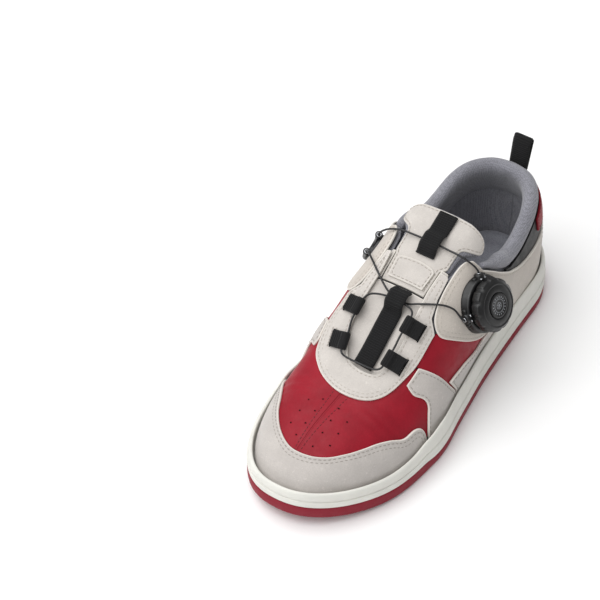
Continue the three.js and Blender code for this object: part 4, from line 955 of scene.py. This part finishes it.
# ------------------------------------------------------------------ padded pieces
def inflate(piece, pinned, most, pressure=4.0):
    """Cloth under pressure for 20 frames; no point moves more than most, in millimetres."""
    scene = bpy.context.scene
    group = piece.vertex_groups.new(name="held")
    for weight in (1.0, 0.5):
        chosen = [i for i, w in enumerate(pinned) if w == weight]
        if chosen:
            group.add(chosen, weight, "REPLACE")
    cloth = piece.modifiers.new("cloth", "CLOTH")
    settings = cloth.settings
    settings.effector_weights.gravity = 0
    settings.use_pressure = True
    settings.uniform_pressure_force = pressure
    settings.vertex_group_mass = "held"
    settings.quality = 6
    settings.tension_stiffness = settings.compression_stiffness = 30
    settings.mass = 0.3
    cloth.point_cache.frame_start, cloth.point_cache.frame_end = 1, 20
    scene.frame_set(1)
    for number in range(1, 21):
        scene.frame_set(number)
    graph = bpy.context.evaluated_depsgraph_get()
    moved = piece.evaluated_get(graph).to_mesh()
    new = np.array([v.co for v in moved.vertices])
    old = np.array([v.co for v in piece.data.vertices])
    piece.modifiers.remove(cloth)
    scene.frame_set(1)
    step = new - old
    size = np.linalg.norm(step, axis=1, keepdims=True)
    step *= np.minimum(1, most * MM / np.maximum(size, 1e-9))
    step[~np.isfinite(step)] = 0
    piece.data.vertices.foreach_set("co", (old + step).ravel())
    piece.data.update()


def refine(piece, levels=1):
    """One subdivision, applied."""
    bpy.context.view_layer.objects.active = piece
    subdivision = piece.modifiers.new("smooth", "SUBSURF")
    subdivision.levels = subdivision.render_levels = levels
    graph = bpy.context.evaluated_depsgraph_get()
    mesh = bpy.data.meshes.new_from_object(piece.evaluated_get(graph))
    piece.modifiers.remove(subdivision)
    piece.data = mesh
    mesh.shade_smooth()


COLLAR = [(-0.9, -0.1), (0.6, 1.0), (1.9, 3.2), (2.2, 5.6), (1.4, 8.2), (-0.6, 10.2), (-3.2, 11.0),
          (-6.0, 10.1), (-8.0, 7.6), (-8.7, 4.2), (-8.4, 0.0), (-7.6, -5.0), (-6.9, -10.0), (-6.3, -15.0),
          (-5.4, -19.5), (-4.2, -22.0), (-3.2, -21.0), (-3.1, -14.0), (-3.1, -6.0), (-3.1, -0.4)]


def build_collar():
    """The padded collar: a roll over the top line that runs down inside as a thick lining."""
    lateral = [(t, rim_phi(t))
               for t in (177, 182, 188, 195, 203, 212, 221, 230, 239, 248, 256, 263, 269, 273)]
    line = np.array(lateral + [(BACK, rim_phi(BACK))] + [(2 * BACK - s, phi) for s, phi in lateral[::-1]])
    line = even(spline(line, 4), 1.0)
    along = lengths(surface(line[:, 0], line[:, 1]))
    line = np.stack([np.interp(np.linspace(0, along[-1], 150), along, line[:, k]) for k in (0, 1)], 1)
    base = surface(line[:, 0], line[:, 1])
    out = normal(line[:, 0], line[:, 1])
    run = np.gradient(base, axis=0)
    run /= np.linalg.norm(run, axis=1, keepdims=True)
    up = np.cross(out, run)
    up *= np.sign(up[:, 2:])
    from_end = np.minimum(np.linspace(0, along[-1], 150), np.linspace(along[-1], 0, 150))
    size = 0.3 + 0.7 * smooth(from_end, 0, 26)
    deep = 0.25 + 0.75 * smooth(from_end, 4, 40)
    section = np.array(COLLAR)
    rings = []
    for b, o, u, k, d in zip(base, out, up, size, deep):
        a = np.where(section[:, 0] > -3.1, section[:, 0] * k, -3.1 + (section[:, 0] + 3.1) * k)
        h = np.where(section[:, 1] > 0, section[:, 1] * k, section[:, 1] * d)
        rings.append(b + a[:, None] * o + h[:, None] * u + 0.3 * u)
    points = np.concatenate(rings)
    n = len(section)
    faces = tube_faces(len(rings), n)
    piece = make("collar_padding", points, faces, knit, None, ["collar_roll"])
    held = [1.0 if (i % n) in (0, 15, 16, 17, 18, 19) or i < n or i >= len(points) - n else 0.0
            for i in range(len(points))]
    inflate(piece, held, 1.1)
    refine(piece)
    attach(piece, "shoe")


def build_tongue():
    gusset = [(84.5, 75), (100, 71), (133.6, 71), (135.3, 80), (135.3, 101), (133.6, 109), (100, 109),
              (84.5, 105)]
    panel("tongue_base_suede", gusset, -2.5, -0.5, pale_suede, ["tongue_gusset"])
    for name, side in (("lateral", [(136.2, 74), (136.2, 80.9), (155.5, 80.4), (155.5, 74.5)]),
                       ("medial", [(136.2, 100.6), (136.2, 107), (155.5, 105.5), (155.5, 102.4)])):
        panel("tongue_side_" + name, side, -1.5, -0.4, pale_suede, radius=0.3)
    wings = run((157, 77), (166, 76), (172, 74), (177, 63), (181, 56.5), (186, 57), (189, 64), (188.5, 90),
                (189, 116), (186, 123), (181, 123.5), (177, 117), (172, 106), (166, 104), (157, 103.5))
    blade = [(136.4, 81.6), (154, 81.0)] + wings + [(154, 101.8), (136.4, 100)]
    bow = lambda at: -0.25 * np.exp(-(((at[:, 0] - 170) / 3.0) ** 2))
    cover = panel("tongue_cover_suede", blade, -2.3, -0.5, pale_suede, ["tongue_skin"], body=None,
                  channels=(1.7,),
                  puff=0.5, radius=0.9, ripple=bow)
    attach(cover, "tongue")
    wide = run((157, 73.2), (166, 71.4), (171, 69.2), (176, 61.8), (181, 55.6), (187, 56), (190, 63.6),
               (189.6, 90), (190, 116.6), (187, 124), (181, 124.5), (176, 118.2), (171, 110.8),
               (166, 108.6), (157, 106.8))
    pad_edge = [(136.4, 81.2), (154, 80.6)] + wide + [(154, 102), (136.4, 100.2)]
    pad = panel("tongue_padding", pad_edge, -7.7, -1.9, knit,
                ["tongue_foam", "tongue_lining"], body=None, radius=2.4, step=3.4)
    count = len(pad.data.vertices) // 2
    inflate(pad, [0.5 if i < count else 0.0 for i in range(2 * count)], 0.6, 2.0)
    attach(pad, "tongue")
    edge = lambda s, phi: s > 138
    stitch_edge(tongue_rows, blade, 1.7, -0.5 + 0.1, edge)
    patch = [(139, 83.5), (151, 82.6)] + run((153, 84), (154, 91), (153, 98)) + [(151, 99), (139, 98)]
    panel("tongue_patch_suede", patch, -0.2, 0.9, pale_suede, ["tongue_patch"], body="tongue",
          channels=(1.6,), radius=0.4)
    stitch_edge(tongue_rows, patch, 1.6, 0.85)


# ------------------------------------------------------------------ webbing
def strip(name, path, ups, width, thick, body, nodes, material=None, rib=1.5, depth=0.16):
    """A ribbed webbing along a path, with selvedges."""
    path = np.asarray(path)
    side = np.linspace(-0.5, 0.5, 13)
    edge = thick * 0.5 * np.sqrt(np.clip(1 - (np.abs(side) * 2) ** 14, 0.04, 1))
    run_at = lengths(path)
    ripple = depth * np.sin(2 * math.pi * run_at / rib)[:, None] * (np.abs(side) < 0.44)
    top = np.stack([np.broadcast_to(side * width, ripple.shape), edge + ripple], -1)
    low = np.stack([np.broadcast_to(side * width, ripple.shape), -edge + ripple * 0.6], -1)[:, ::-1]
    points, faces = sweep(path, np.concatenate([low, top], 1)[:, ::-1], ups)
    values = {"along": np.repeat(run_at, 26),
              "across": np.tile(np.concatenate([side[::-1], side])[::-1] * width, len(path))}
    return make(name, points, faces, material or black_webbing, body, nodes, values)


def ridge_strip(name, start, end, base, bump, width, body, nodes):
    s = even(np.column_stack([np.linspace(start, end, 400), np.full(400, 90.0)]), 0.2)[:, 0]
    middle, reach, high = bump
    raised = high * (1 - smooth(np.abs(s - middle), 0.35 * reach, reach))
    path = surface(s, np.full(len(s), 90.0), base + 0.75 + raised)
    path = even(path, 0.25)
    ups = np.cross(np.gradient(path, axis=0), [1.0, 0, 0]) * -1
    return strip(name, path, ups, width, 1.5, body, nodes)


def frame_at(s, phi, out):
    """A frame on the surface: x towards the heel, y over the foot, z outwards."""
    origin = surface(s, phi, out)
    z = normal(s, phi)
    x = square(surface(s + 2, phi, out) - surface(s - 2, phi, out), z)
    return origin, x, np.cross(z, x), z


LOOPS = (("lace_loop_lateral_low", 99.5, 74.5, 1), ("lace_loop_lateral_high", 118.5, 75, 1),
         ("lace_loop_medial_low", 97.5, 104.5, -1), ("lace_loop_medial_high", 116.5, 106, -1))


def build_webbing():
    ridge_strip("throat_strap_webbing", 89.5, 134.2, 0.4, (128, 7, 4.9), 13, "shoe", ["throat_strap"])
    ridge_strip("tongue_loop_webbing", 158, 187, 0.4, (167, 8, 3.3), 13, "tongue", ["tongue_loop"])
    slits = Heap()
    for name, s, phi, sign in LOOPS:
        origin, x, y, z = frame_at(s, phi, 3.2 + 0.55)
        along = y * sign
        radius = 1.15 + 0.72
        flat = [(-4.4, 0.1), (-2, 0.45), (8 - radius, 0.45)]
        turn = [(8 - radius + radius * math.sin(a), 0.45 + radius - radius * math.cos(a))
                for a in np.linspace(0.25, math.pi - 0.1, 12)]
        back = [(8 - radius - 2.2, 0.45 + 2 * radius - 0.25), (3, 2.35), (0.5, 1.75), (-4.4, 1.25)]
        profile = even(spline(flat + turn + back, 5), 0.25)
        path = origin + profile[:, :1] * along + profile[:, 1:] * z
        step = np.gradient(profile, axis=0)
        ups = step[:, 1:] * along - step[:, :1] * z
        strip(name + "_webbing", path, ups, 11, 1.05, "shoe", [name], rib=1.4, depth=0.1)
        for shift, wide in ((-3.9, 12.4), (-6.6, 12.4)):
            for u in np.arange(-wide / 2, wide / 2 - 1, 1.9):
                a, b = (origin + along * shift + x * (u + k) - z * 0.62 for k in (0.2, 1.6))
                pale_rows.add(*capsule(a, b, z, 0.26))
        slot_points = [origin + along * (-4.9 + u) + x * v - z * h for h in (1.1, 0.62) for u, v in
                       ((-0.45, -5.9), (0.45, -5.9), (0.45, 5.9), (-0.45, 5.9))]
        sides = [[k, (k + 1) % 4, 4 + (k + 1) % 4, 4 + k] for k in range(4)]
        slits.add(slot_points, [[3, 2, 1, 0], [4, 5, 6, 7]] + sides)
    make("eyestay_slits", slits.points, slits.faces, black_webbing, "shoe")
    spot = lambda z, extra: surface(BACK, heel_phi(BACK, z), 3.2 + extra)
    leg = np.array([spot(z, 0.9) for z in np.linspace(66, 80.6, 30)])
    leg = even(leg, 0.25)
    ups = np.cross(np.gradient(leg, axis=0), [1.0, 0, 0])
    ups *= np.sign(ups[:, 1:2])
    strip("pull_loop_leg_inner", leg, ups, 13, 1.35, "shoe", ["pull_loop_leg"])
    outward = ups / np.linalg.norm(ups, axis=1, keepdims=True)
    strip("pull_loop_leg_outer", leg + outward * 1.5, ups, 12.6, 1.35, "shoe", [])
    low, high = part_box("heel_pull_loop")
    y0, z0, top = low.y / MM, low.z / MM, high.z / MM
    rise = spline([(y0 + 0.95, z0), (y0 + 1.7, z0 + 6), (y0 + 3.1, top - 7), (y0 + 3.9, top - 3.2),
                   (y0 + 5.8, top - 0.9),
                   (y0 + 7.8, top - 3.2), (y0 + 7.0, top - 7), (y0 + 4.1, z0 + 6), (y0 + 2.6, z0)], 8)
    rise = even(rise, 0.25)
    loop = np.column_stack([np.full(len(rise), (low.x + high.x) / 2 / MM), rise])
    ups = np.cross(np.gradient(loop, axis=0), [1.0, 0, 0]) * -1
    piece = strip("heel_pull_webbing", loop, ups, 13, 1.3, None, ["heel_pull_loop"])
    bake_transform(piece)


# ------------------------------------------------------------------ dial
LACE_PORTS = (55, 152)           # degrees round the dial
PORT_HEIGHT = 3.8
CAP_FACE = 15.5


def spoke(angle):
    return np.array([math.cos(angle), math.sin(angle), 0.0])


def build_dial():
    joint = next(j for j in frame["joints"] if j["name"] == "dial_turn")
    origin = np.array(joint["pos_m"], float) / MM
    z = np.array(joint["axis"], float)
    z /= np.linalg.norm(z)
    x = square(surface(165, 39, 2.9) - surface(161, 39, 2.9), z)
    y = np.cross(z, x)
    out = lambda points: origin + np.asarray(points) @ np.array([x, y, z])

    s, phi = np.meshgrid(np.linspace(138, 190, 70), np.linspace(10, 70, 70))
    patch = (surface(s.ravel(), phi.ravel(), 3.05) - origin) @ np.array([x, y, z]).T
    seat = lambda px, py: patch[np.argsort((patch[:, 0] - px) ** 2 + (patch[:, 1] - py) ** 2)[:4], 2].mean()

    profile = [(18.9, 0), (19.0, 0.8), (18.6, 1.6), (18.1, 4.6), (17.8, 5.7), (17.2, 6.1), (15.3, 6.1),
               (15.1, 5.2), (15.0, 1.6), (0.01, 1.5)]
    points, faces = lathe(profile, 96)
    points = points.reshape(len(profile), 96, 3)
    for k in range(96):
        low = min(seat(*points[0, k, :2]), 0.6)
        points[0, k, 2] = low - 0.3
        points[1, k, 2] = low + 0.9
        points[2, k, 2] = max(low + 1.7, points[2, k, 2] * 0.4 + (low + 1.7) * 0.6)
    make("dial_base", out(points.reshape(-1, 3)), faces, black_plastic, "shoe", ["dial_housing"], hard=42)
    towers, ferrules = Heap(), Heap()
    for angle in LACE_PORTS:
        way = spoke(math.radians(angle))
        across = np.array([-way[1], way[0], 0.0])
        for shift, radius, start, end in ((0, 3.3, 15.5, 20.4), (-3.9, 1.9, 16.0, 19.0),
                                          (3.9, 1.9, 16.0, 19.0)):
            ring = around(radius, 24) @ np.array([across, UP])
            rows = []
            for u, k in ((0, 1.08), (0.75, 1.02), (0.93, 0.97), (1.0, 0.82), (1.0, 0.5), (0.9, 0.46)):
                height = PORT_HEIGHT if shift == 0 else PORT_HEIGHT - 0.8
                rows.append(way * (start + (end - start) * u) + across * shift + UP * height + ring * k)
            towers.add(out(np.concatenate(rows)), grid_faces(6, 24) + [[120 + c for c in range(24)]])
        for end, radius in ((20.7, 1.25), (20.1, 1.75)):
            path = way * end + UP * PORT_HEIGHT + around(radius, 24) @ np.array([across, UP])
            ferrules.add(*sweep(out(path), around(0.3, 8), closed=True))
        for shift in (-1.7, 1.7):
            a, b = out([way * 17.6 + across * (shift * k) + UP * (7.0 - 0.2 * k) for k in (0.6, 1.5)])
            ferrules.add(*capsule(a, b, z, 0.55, 0.2))
    make("dial_lace_ports", towers.points, towers.faces, black_plastic, "shoe", hard=50)
    make("dial_ferrules", ferrules.points, ferrules.faces, steel, "shoe")

    scallop = lambda a: -0.62 * np.clip(np.cos(12 * a), 0, 1) ** 2 - 0.10 * (np.cos(96 * a) > 0)
    grip = [(0.01, 12.5), (14.3, 12.5), (14.4, 7.35), (16.0, 7.25), (16.7, 7.45, 1), (17.0, 7.9, 1),
            (17.05, 9.5, 1), (17.0, 12.2, 1), (16.75, 12.7, 1), (16.3, 13.1, 0.9), (16.0, 13.15, 0.3),
            (15.6, 13.5, 0.1), (14.2, 14.75), (13.7, 14.98), (13.3, 14.9), (13.0, 14.7), (12.7, 14.72),
            (12.4, 14.95), (9.4, 15.15), (8.7, 15.05), (8.35, 14.7), (8.2, 14.3), (0.01, 14.3)]
    points, faces = lathe(grip, 384, scallop)
    make("dial_knob_grip", out(points), faces, black_plastic, "knob", ["dial_knob"], hard=38)
    points, faces = lathe([(0.01, 14.45), (7.9, 14.45), (8.0, 14.9), (7.9, 15.3), (7.4, 15.55), (6.9, 15.6),
                           (6.75, 15.5), (0.01, 15.52)], 96)
    make("dial_cap_disc", out(points), faces, black_plastic, "knob", ["dial_cap"], hard=38)
    emblem = Heap()

    def dash(way, start, end, radius):
        a, b = out([way * start + UP * CAP_FACE, way * end + UP * CAP_FACE])
        emblem.add(*capsule(a, b, z, radius, 0.5))

    for k in range(18):
        dash(spoke(2 * math.pi * k / 18), 4.9, 6.1, 0.3)
    for radius in (4.2, 2.0):
        path = np.column_stack([around(radius, 48), np.full(48, CAP_FACE)])
        emblem.add(*sweep(out(path), around(0.16, 6), closed=True))
    for k in range(3):
        dash(spoke(math.pi * k / 3), -2.9, 2.9, 0.2)
    make("dial_emblem", emblem.points, emblem.faces, print_grey, "knob")


def build_guide():
    """The medial guide: a moulded tube bent round half a turn on a small base."""
    origin, x, y, z = frame_at(163, 141, 3.2)
    out = lambda points: origin + np.asarray(points, float) @ np.array([x, y, z])
    turn = [(7 * math.cos(a), 7 * math.sin(a), 2.5) for a in np.linspace(0, math.pi, 13)]
    path = even(spline([(7, -8, 2.5), (7, -4, 2.5)] + turn + [(-7, -4, 2.5), (-7, -8, 2.5)], 4), 0.5)
    radii = 2.1 + 0.35 * (np.minimum(np.arange(len(path)), np.arange(len(path))[::-1]) < 4)
    sections = around(1.0, 16)[None] * radii[:, None, None]
    heap = Heap()
    heap.add(*sweep(out(path), sections))
    plate = [(0, 0), (5.5, 7.5), (-5.5, 7.5), (-9.2, 4), (-9.2, -6), (-5.5, -6.5), (5.5, -6.5), (9.2, -6),
             (9.2, 4)]
    loop = even(spline(plate[1:], 6, closed=True), 1.0, closed=True)
    heights = [(1.0, -0.4), (1.0, 0.5), (0.93, 0.95), (0.55, 1.0), (0.01, 1.0)]
    rows = [np.column_stack([loop * k, np.full(len(loop), h)]) for k, h in heights]
    heap.add(out(np.concatenate(rows)), grid_faces(len(rows), len(loop)) + [list(range(len(loop)))[::-1]])
    make("lace_guide_tube", heap.points, heap.faces, black_plastic, "shoe", ["lace_guide"], hard=60)
    ends = Heap()
    for side in (7, -7):
        ring = around(1.35, 20) @ np.array([[1, 0, 0], UP]) + [side, -8.1, 2.5]
        ends.add(*sweep(out(ring), around(0.32, 8), closed=True))
    make("lace_guide_ferrules", ends.points, ends.faces, steel, "shoe")


# ------------------------------------------------------------------ lace
LACE_ROUTE = [
    (37.3, 24.5, 86.2), (35.7, 25.4, 89.4), (34.1, 26.4, 92.8), (31.2, 26.4, 96.3), (26, 25.5, 99.6),
    (20, 24.8, 101.7), (11.7, 24.8, 102.2), (0.6, 24.7, 102.8), (-12.5, 24.7, 102.3),
    (-21.6, 24.5, 101.6), (-29.6, 24.2, 98.4), (-34.4, 24.0, 94.6), (-37.1, 24.2, 90.8),
    (-38.2, 25.3, 87.3), (-39.2, 26.5, 84.2), (-40.4, 27.7, 80.6), (-41.9, 27.5, 75.4), (-42.7, 23.4, 72),
    (-42.3, 18, 72.2), (-40.9, 14.5, 76), (-39.7, 13.2, 79.6), (-38.2, 11.6, 84.1), (-36.6, 9.4, 88),
    (-33, 5.6, 90.2), (-27, 0.4, 91.2), (-19, -6, 90.8), (-12, -10.8, 89.2), (-6, -13.6, 87.1),
    (1, -15.2, 86.2), (8, -16.4, 86.1), (13, -18.2, 86), (15.2, -21.5, 84.7), (15, -26.9, 81.5),
    (14.9, -34.6, 76.9), (14.8, -40, 72.4), (14.4, -45.7, 68.8), (14, -50.3, 65.9), (12.6, -52.9, 63.9),
    (8.5, -54, 62.4), (0, -53.9, 61.5), (-9, -54.6, 62.2), (-13.6, -54.4, 63.5), (-15.5, -52, 65),
    (-16.1, -47.3, 67.9), (-16.7, -42.6, 70.8), (-18.2, -36.4, 75.6), (-18.3, -29, 80.4),
    (-18.1, -24.4, 83.3), (-16.2, -20, 84.9), (-12, -17, 85), (-6, -15, 84.6), (1, -14.4, 84.3),
    (8, -14, 84.9), (14, -12.4, 87), (21, -9.2, 88), (28, -5, 87.4), (33.5, -2, 84.6), (37.3, -1.2, 80.4),
    (39.6, -0.6, 77.4), (39.9, 0.9, 76.7), (40.5, 4.8, 76.3), (41, 8.3, 76)]


def build_lace():
    """The wire in lengths: those over the tongue, by the guide and by the strap ride no body; the rest ride
    the shoe.
    """
    whole = spline(LACE_ROUTE, 8)
    cuts = {"lateral_top": (0, 7), "medial_top": (7, 15), "in_guide": (15, 22), "guide_side": (22, 24),
            "strap_side": (24, 26),
            "lower": (26, 61)}
    bends = {"lateral_top": ((30, 25, 95), (10, 25, 102)), "medial_top": ((-32, 25, 95), (-10, 25, 102)),
             "guide_side": ((-36.6, 9.4, 88), (-27.5, 0.8, 91.2)),
             "strap_side": ((-12, -10.8, 89.2), (-26.5, 0, 91.2))}
    for name, (first, last) in cuts.items():
        path = even(whole[first * 8:last * 8 + 1], 0.7)
        points, faces = sweep(path, around(0.65, 10))
        piece = make("lace_" + name, points, faces, wire, None if name in bends else "shoe", ["lace"])
        if name in bends:
            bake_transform(piece)


# ------------------------------------------------------------------ build and stage
build_outsole()
build_midsole()
build_sockliner()
build_front()
build_sides()
build_rear()
build_perforations()
build_collar()
build_tongue()
build_webbing()
build_dial()
build_guide()
build_lace()
make("stitching_pale", pale_rows.points, pale_rows.faces, pale_thread, "shoe")
make("stitching_grey", grey_rows.points, grey_rows.faces, grey_thread, "shoe")
make("stitching_red", red_rows.points, red_rows.faces, red_thread, "shoe")
make("stitching_tongue", tongue_rows.points, tongue_rows.faces, pale_thread, "tongue")

floor_look = bpy.data.materials.new("floor")
floor_look.use_nodes = True
floor_look.node_tree.nodes["Principled BSDF"].inputs["Base Color"].default_value = (0.98, 0.98, 0.98, 1)
floor_look.node_tree.nodes["Principled BSDF"].inputs["Roughness"].default_value = 0.9
floor_mesh = bpy.data.meshes.new("floor")
floor_mesh.from_pydata([(-6, -6, 0), (6, -6, 0), (6, 6, 0), (-6, 6, 0)], [], [(0, 1, 2, 3)])
floor_mesh.materials.append(floor_look)
floor = bpy.data.objects.new("floor", floor_mesh)
bpy.context.scene.collection.objects.link(floor)

world = bpy.data.worlds.new("studio")
world.use_nodes = True
world.node_tree.nodes["Background"].inputs["Color"].default_value = (1, 1, 1, 1)
world.node_tree.nodes["Background"].inputs["Strength"].default_value = 0.38
bpy.context.scene.world = world
bpy.context.scene.view_settings.view_transform = "Standard"


def area_light(name, azimuth, elevation, size, watts, distance=1.6):
    lamp = bpy.data.lights.new(name, "AREA")
    lamp.size, lamp.energy = size, watts
    a, e = math.radians(azimuth), math.radians(elevation)
    way = Vector((math.sin(a) * math.cos(e), -math.cos(a) * math.cos(e), math.sin(e)))
    holder = bpy.data.objects.new(name, lamp)
    holder.location = way * distance + Vector((0, 0, 0.04))
    holder.rotation_euler = (-way).to_track_quat("-Z", "Y").to_euler()
    bpy.context.scene.collection.objects.link(holder)


area_light("key", -75, 66, 1.9, 24)
area_light("fill", -4, 48, 1.7, 12)
